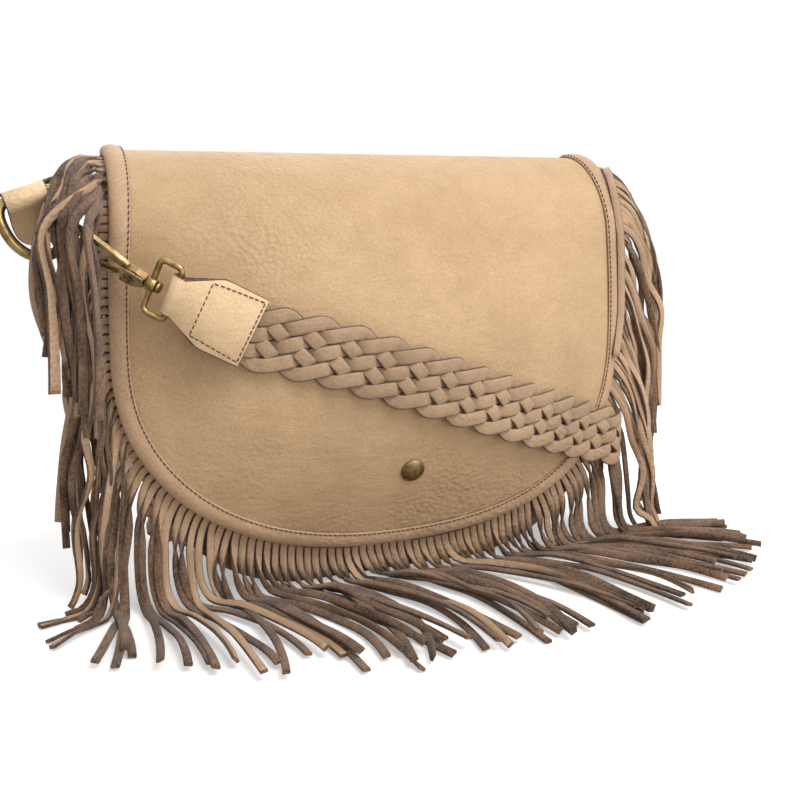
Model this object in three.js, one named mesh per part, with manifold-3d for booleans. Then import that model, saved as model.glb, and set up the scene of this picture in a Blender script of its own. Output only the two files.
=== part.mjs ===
// A fringed leather shoulder bag with a braided strap. Millimetres, +Z up, the front faces -Y.
// The bag stands on the floor, closed, with its strap clipped on and laid across the flap.
import * as THREE from 'three';
import { mergeVertices } from 'three/addons/utils/BufferGeometryUtils.js';
import Module from 'manifold-3d';

const wasm = await Module();
wasm.setup();

const V = (x, y, z) => new THREE.Vector3(x, y, z);
const QUARTER = Math.PI / 2;

// Clearances between pieces that touch on the real bag, and round what turns
const GAP = 0.3;
const RUN_GAP = 0.35;

// Flap: its outline seen from the front, and its section from the side
const FLAP_TOP_HALF = 150;
const FLAP_FLARE = 6.2;
const FLAP_TOP_Z = 246;
const FLAP_WIDEST_Z = 137;
const FLAP_LOW_Z = 22.5;
const FLAP_SQUARENESS = 2.3;
const FLAP_TIP_HALF = 10;
const FLAP_FRONT = 41;
const FOLD_DROP = 45;
const BELLY = 43;
const LEATHER = 2.2;

// Body under the flap
const BODY_HALF = 146;
const CORNER_RADIUS = 100;
const PANEL_TOP_Z = 205;
const BACK_Y = 24.5;
const GUSSET_FRONT_Y = -34;
const GUSSET_TOP_Z = 200;
const PANEL_BELLY = 31;
const PANEL_BELLY_HEIGHT = 235;

// Binding folded over the flap's edge, and the fringe sewn under it
const BINDING_WIDTH = 9.5;
const BINDING_THICK = 1.2;
const EDGE_STEPS = 52;
const HEADER_WIDTH = 9;
const FRINGE_THICK = 1.6;
const LOCK_PITCH = 11.6;
const LOCK_WIDTH = 8.4;
const LOCK_TIP_WIDTH = 4.6;
const STRIP_LENGTH = 145;
const FLOOR_CLEAR = 0.4;

// Snap: a cap on the flap and two halves that meet inside
const SNAP_Z = 70;
const SNAP_RADIUS = 6.9;
const SNAP_DOME = 3;
const SNAP_POST_RADIUS = 1.8;
const SNAP_HALF_RADIUS = 6.2;
const SNAP_HALF_THICK = 2.2;

// D-rings and the leather tabs that hold them
const D_WIRE_RADIUS = 2.7;
const D_HALF = 15.4;
const D_HEIGHT = 30;
const TAB_WIDTH = 24;
const TAB_BAR_WIDTH = 16.5;
const TAB_THICK = 1.8;
const TAB_TOP_Z = 227.5;
const TAB_ROOT_Z = 182;
const TAB_ROOT_Y = -8;

// Swivel hooks, each in its own plane: u runs from the swivel to the claw, w across
const HOOK_CLAW_U = 50.5;
const HOOK_WIRE_RADIUS = 2.1;
const HOOK_END_U = 57;
const HOOK_ARM_W = 12;
const STEM_RADIUS = 1.6;
const STEM_HEAD_RADIUS = 3;
const BOSS_RADIUS = 3.5;
const BOSS_LENGTH = 6;
const HOOK_BODY_WIDTH = 10.6;
const HOOK_BODY_THICK = 6.4;
const HOOK_BLOCK_FROM = 8;
const HOOK_BLOCK_TO = 17;
const SLOT_TOP_W = 2.2;
const PIVOT_U = 13;
const PIVOT_W = -1.2;
const PIN_RADIUS = 0.95;
const GATE_THICK = 2.4;
const GATE_RADIUS = 1.5;
const GATE_EYE_RADIUS = 2.6;
const GATE_SHORT = 11.4;
const GATE_TIP_W = -8.4;

// Strap rings, end tabs and braid
const RING_WIRE_RADIUS = 1.6;
const RING_INNER = 25;
const RING_REACH = 12.7;
const RING_CORNER = 3.2;
const STRAP_TAB_LENGTH = 45;
const STRAP_TAB_WIDTH = 38;
const STRAP_NECK_WIDTH = 21;
const STRAP_FLARE_START = 2;
const STRAP_FLARE_END = 20;
const BRAID_HALF = 18.4;
const BRAID_THICK = 4.4;
const BRAID_REPEAT = 20;
const BRAID_SCALLOP = 1.2;
const BRAID_RELIEF = 0.5;
const STRAP_STANDOFF = 2.3;

const LEATHER_MAT = new THREE.MeshStandardMaterial({ color: 0xd1b089, roughness: 0.6, metalness: 0 });
const BINDING_MAT = new THREE.MeshStandardMaterial({ color: 0xae8d6e, roughness: 0.6, metalness: 0 });
const FRINGE_MAT = new THREE.MeshStandardMaterial({ color: 0x8a6a52, roughness: 0.95, metalness: 0 });
const BRASS_MAT = new THREE.MeshStandardMaterial({ color: 0x9c8450, roughness: 0.35, metalness: 1 });

const group = new THREE.Group();

function clamp(x, lo, hi) {
  return Math.min(hi, Math.max(lo, x));
}

function mix(a, b, t) {
  return a + (b - a) * t;
}

function smooth(t) {
  const k = clamp(t, 0, 1);
  return k * k * (3 - 2 * k);
}

function add(name, geometry, material) {
  const mesh = new THREE.Mesh(geometry, material);
  mesh.name = name;
  group.add(mesh);
}

// Makes a geometry whose faces point out, by the sign of the volume they enclose
function closed(pos, idx) {
  const p = (i) => V(pos[i * 3], pos[i * 3 + 1], pos[i * 3 + 2]);
  let volume = 0;
  for (let i = 0; i < idx.length; i += 3) volume += p(idx[i]).dot(p(idx[i + 1]).cross(p(idx[i + 2])));
  const faces = [];
  for (let i = 0; i < idx.length; i += 3) {
    if (volume < 0) faces.push(idx[i], idx[i + 2], idx[i + 1]);
    else faces.push(idx[i], idx[i + 1], idx[i + 2]);
  }
  const g = new THREE.BufferGeometry();
  g.setAttribute('position', new THREE.Float32BufferAttribute(pos, 3));
  g.setIndex(faces);
  return g;
}

// A body through rings of points. It closes on itself when loop is set, and else its ends are capped
function loft(rings, loop = false) {
  const n = rings[0].length;
  const count = rings.length;
  const idx = [];
  for (let i = 0; i < (loop ? count : count - 1); i += 1) {
    const a = i * n;
    const b = ((i + 1) % count) * n;
    for (let k = 0; k < n; k += 1) {
      const m = (k + 1) % n;
      idx.push(a + k, b + k, b + m, a + k, b + m, a + m);
    }
  }
  const last = (count - 1) * n;
  for (let k = 1; k < n - 1 && !loop; k += 1) idx.push(0, k, k + 1, last, last + k + 1, last + k);
  return closed(rings.flat().flatMap((p) => p.toArray()), idx);
}

// A closed sheet between an outer and an inner grid of the same size
function sheet(outer, inner) {
  const rows = outer.length;
  const cols = outer[0].length;
  const at = (s, r, c) => (s * rows + r) * cols + c;
  const idx = [];
  for (let r = 0; r < rows - 1; r += 1) {
    for (let c = 0; c < cols - 1; c += 1) {
      idx.push(at(0, r, c), at(0, r, c + 1), at(0, r + 1, c + 1));
      idx.push(at(0, r, c), at(0, r + 1, c + 1), at(0, r + 1, c));
      idx.push(at(1, r, c), at(1, r + 1, c + 1), at(1, r, c + 1));
      idx.push(at(1, r, c), at(1, r + 1, c), at(1, r + 1, c + 1));
    }
  }
  const rim = [];
  for (let c = 0; c < cols - 1; c += 1) rim.push([0, c]);
  for (let r = 0; r < rows - 1; r += 1) rim.push([r, cols - 1]);
  for (let c = cols - 1; c > 0; c -= 1) rim.push([rows - 1, c]);
  for (let r = rows - 1; r > 0; r -= 1) rim.push([r, 0]);
  rim.forEach(([r, c], i) => {
    const [r2, c2] = rim[(i + 1) % rim.length];
    idx.push(at(0, r, c), at(1, r2, c2), at(0, r2, c2));
    idx.push(at(0, r, c), at(1, r, c), at(1, r2, c2));
  });
  return closed([...outer.flat(), ...inner.flat()].flatMap((p) => p.toArray()), idx);
}

function toSolid(geometry) {
  const g = geometry.clone();
  for (const name of Object.keys(g.attributes)) if (name !== 'position') g.deleteAttribute(name);
  const m = mergeVertices(g, 1e-4);
  const mesh = new wasm.Mesh({
    numProp: 3,
    vertProperties: new Float32Array(m.attributes.position.array),
    triVerts: new Uint32Array(m.index.array),
  });
  return new wasm.Manifold(mesh);
}

// A cut leaves slivers, which are merged away within this distance
const SLIVER = 0.03;

function fromSolid(solid) {
  const mesh = solid.simplify(SLIVER).getMesh();
  const g = new THREE.BufferGeometry();
  g.setAttribute('position', new THREE.Float32BufferAttribute(mesh.vertProperties, 3));
  g.setIndex([...mesh.triVerts]);
  return g;
}

// A cylinder from one point to another
function rod(a, b, radius, sides = 12) {
  const d = b.clone().sub(a);
  const g = new THREE.CylinderGeometry(radius, radius, d.length(), sides);
  g.applyQuaternion(new THREE.Quaternion().setFromUnitVectors(V(0, 1, 0), d.clone().normalize()));
  const mid = a.clone().add(b).multiplyScalar(0.5);
  return g.translate(mid.x, mid.y, mid.z);
}

// A round wire along a plane curve given as points, with the plane's normal
function wire(points, normal, radius, loop, sides = 8) {
  const n = points.length;
  const rings = points.map((p, i) => {
    const before = loop ? points[(i + n - 1) % n] : points[Math.max(0, i - 1)];
    const after = loop ? points[(i + 1) % n] : points[Math.min(n - 1, i + 1)];
    const side = after.clone().sub(before).normalize().cross(normal);
    const ring = [];
    for (let k = 0; k < sides; k += 1) {
      const a = (k / sides) * Math.PI * 2;
      const onSide = p.clone().addScaledVector(side, radius * Math.cos(a));
      ring.push(onSide.addScaledVector(normal, radius * Math.sin(a)));
    }
    return ring;
  });
  return loft(rings, loop);
}

// A flat strip through stations, each a centre with a width direction, a width and a thickness
function strip(stations) {
  const rings = stations.map((s, i) => {
    const before = stations[Math.max(0, i - 1)].p;
    const after = stations[Math.min(stations.length - 1, i + 1)].p;
    const along = after.clone().sub(before).normalize();
    const w = s.across.clone().addScaledVector(along, -s.across.dot(along)).normalize();
    const n = along.clone().cross(w);
    const corner = (a, b) => {
      const c = s.p.clone().addScaledVector(w, (a * s.width) / 2).addScaledVector(n, (b * s.thick) / 2);
      return c.setZ(Math.max(c.z, FLOOR_CLEAR));
    };
    return [corner(-1, -1), corner(1, -1), corner(1, 1), corner(-1, 1)];
  });
  return loft(rings);
}

// Half width of the flap at a height on its front
function flapHalf(z) {
  if (z >= FLAP_WIDEST_Z) {
    const u = (FLAP_TOP_Z - z) / (FLAP_TOP_Z - FLAP_WIDEST_Z);
    return FLAP_TOP_HALF + FLAP_FLARE * Math.sin(u * QUARTER);
  }
  const k = clamp((FLAP_WIDEST_Z - z) / (FLAP_WIDEST_Z - FLAP_LOW_Z), 0, 1);
  return (FLAP_TOP_HALF + FLAP_FLARE) * (1 - k ** FLAP_SQUARENESS) ** (1 / FLAP_SQUARENESS);
}

// Outer surface of the flap's front, from the fold down
function flapY(x, z) {
  const across = Math.max(0, 1 - (x / (FLAP_TOP_HALF + FLAP_FLARE)) ** 2);
  const drop = Math.max(0, FLAP_TOP_Z - z);
  const fold = drop < FOLD_DROP ? Math.sqrt(1 - (1 - drop / FOLD_DROP) ** 2) : 1;
  return -FLAP_FRONT * fold - BELLY * across * Math.sin((Math.PI * drop) / FLAP_TOP_Z);
}

function flapNormal(x, z) {
  const e = 0.5;
  const gx = (flapY(x + e, z) - flapY(x - e, z)) / (2 * e);
  const gz = (flapY(x, z + e) - flapY(x, z - e)) / (2 * e);
  return V(gx, -1, gz).normalize();
}

// Half width of the body at a height: straight sides on a rounded bottom
function bodyHalf(z) {
  if (z >= CORNER_RADIUS) return BODY_HALF;
  return BODY_HALF - CORNER_RADIUS + Math.sqrt(CORNER_RADIUS ** 2 - (CORNER_RADIUS - z) ** 2);
}

// The body's outline from one top end round the bottom to the other
function bodyOutline(inset) {
  const steps = 9;
  const r = CORNER_RADIUS - inset;
  const half = [[-(BODY_HALF - inset), GUSSET_TOP_Z]];
  for (let i = 0; i <= steps; i += 1) {
    const a = (i / steps) * QUARTER;
    half.push([-(BODY_HALF - CORNER_RADIUS) - r * Math.cos(a), CORNER_RADIUS - r * Math.sin(a)]);
  }
  const other = half.map(([x, z]) => [-x, z]).reverse();
  return half.concat(other);
}

// One row of a sheet's grid, with its points closer together near the edges
function rowAt(half, yOf, z) {
  const cols = 14;
  const row = [];
  for (let c = 0; c <= cols; c += 1) {
    const x = half * Math.sin(((2 * c) / cols - 1) * QUARTER);
    row.push(V(x, yOf(x, z), z));
  }
  return row;
}

// The outer grid of the back and flap, one sheet: up the back, over the top and down the front
function backAndFlapGrid() {
  const grid = [];
  const backRows = 8;
  const foldRows = 5;
  const frontRows = 4;
  const lowRows = 10;
  const shoulder = FLAP_TOP_Z - FOLD_DROP;
  for (let i = 0; i <= backRows; i += 1) {
    const z = shoulder * (1 - Math.cos((i / backRows) * QUARTER));
    grid.push(rowAt(bodyHalf(z), () => BACK_Y, z));
  }
  for (let i = 1; i <= foldRows; i += 1) {
    const a = (i / foldRows) * QUARTER;
    const half = mix(BODY_HALF, FLAP_TOP_HALF, i / foldRows);
    grid.push(rowAt(half, () => BACK_Y * Math.cos(a), shoulder + FOLD_DROP * Math.sin(a)));
  }
  for (let i = 1; i <= foldRows; i += 1) {
    const z = shoulder + FOLD_DROP * Math.cos((i / foldRows) * QUARTER);
    grid.push(rowAt(flapHalf(z), flapY, z));
  }
  for (let i = 1; i <= frontRows; i += 1) {
    const z = mix(shoulder, FLAP_WIDEST_Z, i / frontRows);
    grid.push(rowAt(flapHalf(z), flapY, z));
  }
  for (let i = 1; i <= lowRows; i += 1) {
    const rise = Math.sin((i / lowRows) * QUARTER) ** (2 / FLAP_SQUARENESS);
    const z = mix(FLAP_WIDEST_Z, FLAP_LOW_Z, rise);
    grid.push(rowAt(Math.max(FLAP_TIP_HALF, flapHalf(z)), flapY, z));
  }
  return grid;
}

// The grid moved along its own normals
function offsetGrid(grid, d) {
  return grid.map((row, r) => row.map((p, c) => {
    const across = row[Math.min(c + 1, row.length - 1)].clone().sub(row[Math.max(c - 1, 0)]);
    const up = grid[Math.min(r + 1, grid.length - 1)][c].clone().sub(grid[Math.max(r - 1, 0)][c]);
    return p.clone().addScaledVector(up.cross(across).normalize(), d);
  }));
}

// The same grid a little wider, so that what is cut by it keeps its gap at the edges too
function widened(grid, d) {
  return grid.map((row) => row.map((p) => {
    const half = row[row.length - 1].x;
    const low = p.y < 0 ? clamp((FLAP_WIDEST_Z - p.z) / (FLAP_WIDEST_Z - FLAP_LOW_Z), 0, 1) ** 2 : 0;
    return V((p.x * (half + d)) / half, p.y, p.z - d * low);
  }));
}

const flapGrid = backAndFlapGrid();
const flapSheet = toSolid(sheet(flapGrid, offsetGrid(flapGrid, -LEATHER)));
const grown = widened(flapGrid, GAP * 1.3);
const flapClearance = toSolid(sheet(offsetGrid(grown, GAP), offsetGrid(grown, -LEATHER - GAP)));

// Where the snap sits on the flap and the way it faces
const snapAt = V(0, flapY(0, SNAP_Z), SNAP_Z);
const snapOut = flapNormal(0, SNAP_Z);
const along = (d) => snapAt.clone().addScaledVector(snapOut, d);

function panelY(x, z) {
  const across = Math.max(0, 1 - (x / BODY_HALF) ** 2);
  return GUSSET_FRONT_Y - GAP - LEATHER - PANEL_BELLY * across * Math.sin((Math.PI * z) / PANEL_BELLY_HEIGHT);
}

function frontPanelSheet() {
  const rows = 11;
  const outer = [];
  for (let i = 0; i <= rows; i += 1) {
    const z = PANEL_TOP_Z * (1 - Math.cos((i / rows) * QUARTER));
    outer.push(rowAt(bodyHalf(z), panelY, z));
  }
  return toSolid(sheet(outer, outer.map((row) => row.map((p) => V(p.x, p.y + LEATHER, p.z)))));
}

function addShell() {
  const hole = toSolid(rod(along(3), along(-3 - LEATHER), SNAP_POST_RADIUS + GAP));
  add('back_and_flap', fromSolid(flapSheet.subtract(hole)), LEATHER_MAT);
  const postHole = toSolid(rod(along(-LEATHER - 2), along(-20), SNAP_POST_RADIUS + GAP));
  add('front_panel', fromSolid(frontPanelSheet().subtract(postHole)), LEATHER_MAT);
  const outline = bodyOutline(0).concat(bodyOutline(LEATHER).reverse());
  const shape = new THREE.Shape(outline.map(([x, z]) => new THREE.Vector2(x, z)));
  const depth = BACK_Y - LEATHER - GAP - GUSSET_FRONT_Y;
  const g = new THREE.ExtrudeGeometry(shape, { depth, bevelEnabled: false });
  add('gusset', g.rotateX(QUARTER).translate(0, GUSSET_FRONT_Y + depth, 0), LEATHER_MAT);
}

// The flap's edge, from behind the fold on the left, round the bottom, to behind the fold on the right
function flapEdgeCurve() {
  const half = [];
  const behind = 0.5;
  for (let i = 0; i < 4; i += 1) {
    const a = behind * (1 - i / 4);
    const x = -mix(FLAP_TOP_HALF, BODY_HALF, a / QUARTER);
    half.push(V(x, BACK_Y * Math.sin(a), FLAP_TOP_Z - FOLD_DROP * (1 - Math.cos(a))));
  }
  for (let i = 0; i < 8; i += 1) {
    const z = FLAP_TOP_Z - FOLD_DROP * (1 - Math.cos((i / 8) * QUARTER));
    half.push(V(-flapHalf(z), flapY(flapHalf(z), z), z));
  }
  for (let i = 0; i < 10; i += 1) {
    const z = mix(FLAP_TOP_Z - FOLD_DROP, FLAP_WIDEST_Z, i / 10);
    half.push(V(-flapHalf(z), flapY(flapHalf(z), z), z));
  }
  for (let i = 0; i <= 40; i += 1) {
    const a = (i / 40) * QUARTER;
    const x = (FLAP_TOP_HALF + FLAP_FLARE) * Math.cos(a) ** (2 / FLAP_SQUARENESS);
    const z = mix(FLAP_WIDEST_Z, FLAP_LOW_Z, Math.sin(a) ** (2 / FLAP_SQUARENESS));
    half.push(V(-x, flapY(x, z), z));
  }
  const other = half.slice(0, -1).map((p) => V(-p.x, p.y, p.z)).reverse();
  const curve = new THREE.CatmullRomCurve3(half.concat(other), false, 'centripetal');
  curve.arcLengthDivisions = 800;
  return curve;
}

const edgeCurve = flapEdgeCurve();

// A place on the edge: the ways along it, forward off the flap's face, and out past the edge
function edgePlace(u) {
  const p = edgeCurve.getPointAt(u);
  const tangent = edgeCurve.getTangentAt(u);
  const over = FLAP_TOP_Z - p.z < 2 || p.y > 0;
  const forward = over ? V(0, p.y > 0 ? 0.4 : -0.3, 1) : flapNormal(p.x * 0.99, p.z);
  forward.addScaledVector(tangent, -forward.dot(tangent)).normalize();
  return { p, tangent, forward, out: tangent.clone().cross(forward).normalize() };
}

function onPlace(f, out, forward) {
  return f.p.clone().addScaledVector(f.out, out).addScaledVector(f.forward, forward);
}

function stationsBetween(from, to) {
  const list = [from];
  for (let i = Math.floor(from) + 1; i < to; i += 1) list.push(i);
  return list.concat([to]);
}

// A band along the edge between two of its stations, two distances out and two distances forward
function edgeBand(from, to, outA, outB, forwardA, forwardB) {
  const rings = [];
  for (const i of stationsBetween(from, to)) {
    const f = edgePlace(i / EDGE_STEPS);
    const corners = [[outA, forwardA], [outB, forwardA], [outB, forwardB], [outA, forwardB]];
    rings.push(corners.map(([out, forward]) => onPlace(f, out, forward)));
  }
  return toSolid(loft(rings));
}

const BINDING_BACK = LEATHER + GAP + BINDING_THICK;

function addBinding() {
  const edge = GAP + BINDING_THICK;
  const band = edgeBand(0, EDGE_STEPS, -BINDING_WIDTH, edge, -BINDING_BACK, edge);
  add('flap_binding', fromSolid(largest(band.subtract(flapClearance))), BINDING_MAT);
}

// The biggest of the bodies that a cut leaves
function largest(solid) {
  const parts = solid.decompose();
  return parts.reduce((a, b) => (a.volume() >= b.volume() ? a : b));
}

// Fringe: locks of cut strips. Each lane is where the locks of one side hang, seen from above
const LANE_HALF = Math.max(FLAP_TOP_HALF + FLAP_FLARE, BODY_HALF + 8);
const laneAt = (side, out, y) => V(side * (LANE_HALF + out), y, 0);
const LANE_LEFT = { near: laneAt(-1, 9.8, -44), far: laneAt(-1, 40.8, 16), floor: V(-1, -0.3, 0) };
const LANE_LEFT_TOP = { near: laneAt(-1, 3.8, -72), far: laneAt(-1, 44.8, -55), floor: V(-1, -0.3, 0) };
const LANE_RIGHT = { near: laneAt(1, 18.8, -64), far: laneAt(1, 59.8, -2), floor: V(0.8, -0.6, 0) };
const SIDE_LOW_Z = 88;
const RIGHT_LOW_Z = 100;
// The share of the left fringe that hangs in front of the hook
const LEFT_TOP_SHARE = 0.36;
const HOOK_LOW_Z = 166;
const HOOK_HIGH_Z = 213;
// How far a lock's root lies in from the flap's edge, and how far out it goes before it turns down
const ROOT_IN = 4;
const SIDE_ROOT_OUT = 6;
const FRONT_ROOT_OUT = 5;
const FRONT_SWEEP = 0.45;
const FRONT_FAN = 0.35;
const rightwards = V(1, 0, 0);

function sideLock(f, lane, t, floorZ) {
  const back = -BINDING_BACK - GAP - FRINGE_THICK / 2;
  const lanePoint = lane.near.clone().lerp(lane.far, t);
  const spread = lane.floor.clone().normalize();
  const at = (z) => V(lanePoint.x, lanePoint.y, z);
  const points = [onPlace(f, -ROOT_IN, back), onPlace(f, SIDE_ROOT_OUT, back), at(f.p.z - 6), at(f.p.z - 18)];
  if (f.p.z > 60) points.push(at((f.p.z + 12) / 2));
  points.push(at(14), at(floorZ).addScaledVector(spread, 7), at(floorZ).addScaledVector(spread, 90));
  const hang = lane.far.clone().sub(lane.near).cross(V(0, 0, 1)).normalize();
  return { points, across: [f.tangent, f.tangent, hang, hang], spread };
}

function frontLock(f, floorZ) {
  const back = -BINDING_BACK - GAP - FRINGE_THICK / 2;
  const top = onPlace(f, FRONT_ROOT_OUT, back);
  const spread = V(FRONT_SWEEP + (FRONT_FAN * f.p.x) / FLAP_TOP_HALF, -1, 0).normalize();
  const at = (d, z) => V(top.x, top.y, z).addScaledVector(spread, d);
  const points = [onPlace(f, -ROOT_IN, back), top, at(0.5, top.z - 7)];
  if (top.z > 40) points.push(at(1, (top.z + 12) / 2));
  points.push(at(2, 11), at(9, floorZ), at(130, floorZ));
  return { points, across: [f.tangent, f.tangent, rightwards, rightwards], spread };
}

function lockSolid(plan) {
  const curve = new THREE.CatmullRomCurve3(plan.points, false, 'centripetal');
  curve.arcLengthDivisions = 300;
  const total = Math.min(STRIP_LENGTH, curve.getLength() - 1) / curve.getLength();
  const steps = 9;
  const stations = [];
  const floorAcross = plan.spread.clone().cross(V(0, 0, 1)).normalize();
  for (let i = 0; i <= steps; i += 1) {
    const u = (i / steps) * total;
    const p = curve.getPointAt(u);
    const hang = plan.across[3].clone();
    if (hang.dot(plan.across[0]) < 0) hang.negate();
    const base = plan.across[0].clone().lerp(hang, smooth(u * curve.getLength() / 26 - 0.25));
    const flat = u > 0.3 ? smooth((18 - p.z) / 12) : 0;
    p.z = Math.max(p.z, FLOOR_CLEAR + FRINGE_THICK / 2);
    const floorward = floorAcross.clone();
    if (floorward.dot(base) < 0) floorward.negate();
    const width = mix(LOCK_WIDTH, LOCK_TIP_WIDTH, smooth((u * curve.getLength()) / 50));
    stations.push({ p, across: base.lerp(floorward, flat), width, thick: FRINGE_THICK });
  }
  return toSolid(strip(stations));
}

// One fringe: its uncut header between two stations of the edge, with its locks
function addFringe(name, from, to, planOf) {
  const back = -BINDING_BACK - GAP;
  const count = Math.floor((edgeCurve.getLength() * (to - from)) / EDGE_STEPS / LOCK_PITCH);
  let solid = edgeBand(from, to, -HEADER_WIDTH, 0.8, back - FRINGE_THICK, back);
  for (let i = 0; i < count; i += 1) {
    const plan = planOf(edgePlace(mix(from + 0.1, to - 0.1, (i + 0.5) / count) / EDGE_STEPS), i / count);
    if (plan) solid = solid.add(lockSolid(plan));
  }
  const clear = BINDING_THICK + 2 * GAP;
  solid = solid.subtract(edgeBand(0, EDGE_STEPS, -BINDING_WIDTH - 2, clear, back, clear));
  add(name, fromSolid(largest(solid)), FRINGE_MAT);
}

// The station of the edge at which it has come down to a height on the left
function stationAt(height) {
  let i = 3;
  while (edgePlace(i / EDGE_STEPS).p.z > height) i += 1;
  return i;
}

function addFringes() {
  const floorZ = FLOOR_CLEAR + FRINGE_THICK / 2;
  const left = stationAt(SIDE_LOW_Z);
  const right = EDGE_STEPS - stationAt(RIGHT_LOW_Z);
  const apart = 0.06;
  addFringe('left_fringe', 0, left, (f, t) => {
    if (f.p.z > HOOK_HIGH_Z) return sideLock(f, LANE_LEFT_TOP, 1 - t / LEFT_TOP_SHARE, floorZ);
    if (f.p.z > HOOK_LOW_Z) return null;
    return sideLock(f, LANE_LEFT, (f.p.z - SIDE_LOW_Z) / (HOOK_LOW_Z - SIDE_LOW_Z), floorZ);
  });
  addFringe('front_fringe', left + apart, right - apart, (f) => frontLock(f, floorZ));
  addFringe('right_fringe', right, EDGE_STEPS, (f, t) => sideLock(f, LANE_RIGHT, t, floorZ));
}

function addSnap() {
  const profile = [[0, SNAP_DOME], [2.6, SNAP_DOME - 0.25], [4.8, SNAP_DOME - 0.95], [SNAP_RADIUS - 0.4, 1]];
  profile.push([SNAP_RADIUS, 0.5], [SNAP_RADIUS, GAP], [SNAP_POST_RADIUS, GAP]);
  profile.push([SNAP_POST_RADIUS, -LEATHER - GAP], [0, -LEATHER - GAP]);
  const q = new THREE.Quaternion().setFromUnitVectors(V(0, 1, 0), snapOut);
  const turn = (points, sides) => {
    const g = new THREE.LatheGeometry(points.map(([x, y]) => new THREE.Vector2(x, y)), sides);
    g.deleteAttribute('normal');
    g.deleteAttribute('uv');
    const m = mergeVertices(g.applyQuaternion(q).translate(snapAt.x, snapAt.y, snapAt.z), 1e-4);
    return fromSolid(toSolid(closed([...m.attributes.position.array], [...m.index.array])));
  };
  add('snap_cap', turn(profile, 20), BRASS_MAT);
  const rim = SNAP_HALF_RADIUS;
  const disc = (inner, outer) => [[0, inner], [rim, inner], [rim, outer], [0, outer]];
  const socketTop = -LEATHER - 2 * GAP;
  add('snap_socket', turn(disc(socketTop - SNAP_HALF_THICK, socketTop), 16), BRASS_MAT);
  const [near, far] = panelDepths(SNAP_HALF_RADIUS);
  const seat = GAP - near;
  const post = -far - LEATHER - 2;
  const studTop = socketTop - SNAP_HALF_THICK - GAP;
  const stud = [[0, post], [SNAP_POST_RADIUS, post], [SNAP_POST_RADIUS, seat], [SNAP_HALF_RADIUS, seat]];
  stud.push([SNAP_HALF_RADIUS, studTop], [0, studTop]);
  add('snap_stud', turn(stud, 16), BRASS_MAT);
  const washer = post - GAP;
  add('stud_washer', turn(disc(washer - 1, washer), 16), BRASS_MAT);
}

// How far behind the flap's face the front panel's face is under the snap: under the near side of a disc,
// and under its far side
function panelDepths(radius) {
  const depths = [-1, 0, 1].map((side) => {
    const p = along(0).addScaledVector(V(0, snapOut.z, -snapOut.y), side * radius);
    let d = 0;
    while (p.y - snapOut.y * d < panelY(p.x, p.z - snapOut.z * d)) d += 0.05;
    return d;
  });
  return [Math.min(...depths), Math.max(...depths)];
}

// One end of the strap: D-ring, hook, gate, pin, ring and the two leather tabs, made for the left and
// turned half round about the middle of the gusset for the right
const CLAW_AT = V(-FLAP_TOP_HALF - 26, -FLAP_FRONT + 2, FLAP_TOP_Z - 46);
const SWIVEL_FROM = V(-FLAP_TOP_HALF + 9.2, -FLAP_FRONT - 22.7, FLAP_TOP_Z - 66.1);
const STRAP_TAB_TO = V(-FLAP_TOP_HALF + 60, -FLAP_FRONT - 33.5, FLAP_TOP_Z - 94);
const RING_BAR_WAY = V(0.95, 0, 0.31);
const CLAW_ACROSS_D = 10;
const CLAW_BELOW_BAR = 25;
const CLAW_W = 0.8;
const HOOK_ROLL = -0.6;
const TURN_Y = (GUSSET_FRONT_Y + BACK_Y - LEATHER - GAP) / 2;

const hookU = CLAW_AT.clone().sub(SWIVEL_FROM).normalize();
const ringW = V(0, 0, 1).addScaledVector(hookU, -hookU.z).normalize();
const ringN = hookU.clone().cross(ringW);
const hookW = ringW.clone().applyAxisAngle(hookU, HOOK_ROLL);
const hookN = hookU.clone().cross(hookW);
const swivelAt = CLAW_AT.clone().addScaledVector(hookU, -HOOK_CLAW_U).addScaledVector(hookW, -CLAW_W);

function hookPoint(u, w, n = 0) {
  return swivelAt.clone().addScaledVector(hookU, u).addScaledVector(hookW, w).addScaledVector(hookN, n);
}

function ringPoint(u, w) {
  return swivelAt.clone().addScaledVector(hookU, u).addScaledVector(ringW, w);
}

const dWay = RING_BAR_WAY.clone().normalize();
const dFace = dWay.clone().cross(V(0, 0, 1)).normalize();
const dUp = dFace.clone().cross(dWay).normalize();
const dBar = CLAW_AT.clone().addScaledVector(dWay, -CLAW_ACROSS_D).addScaledVector(dUp, CLAW_BELOW_BAR);
const ringBar = ringPoint(-RING_REACH, 0);
const tabWay = STRAP_TAB_TO.clone().sub(ringBar).normalize();

function samples(points, loop, count) {
  const curve = new THREE.CatmullRomCurve3(points, loop, 'centripetal');
  const out = [];
  for (let i = 0; i < (loop ? count : count + 1); i += 1) out.push(curve.getPointAt(i / count));
  return out;
}

function dRing() {
  const k = D_HALF;
  const h = D_HEIGHT;
  const half = [[0, 0], [k * 0.78, 0], [k * 0.97, -0.13 * h], [k, -0.38 * h]];
  half.push([k * 0.86, -0.68 * h], [k * 0.5, -0.92 * h]);
  const other = half.slice(1).map(([x, y]) => [-x, y]).reverse();
  const outline = half.concat([[0, -h]], other);
  const points = outline.map(([a, b]) => dBar.clone().addScaledVector(dWay, a).addScaledVector(dUp, b));
  return wire(samples(points, true, 30), dFace, D_WIRE_RADIUS, true);
}

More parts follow.
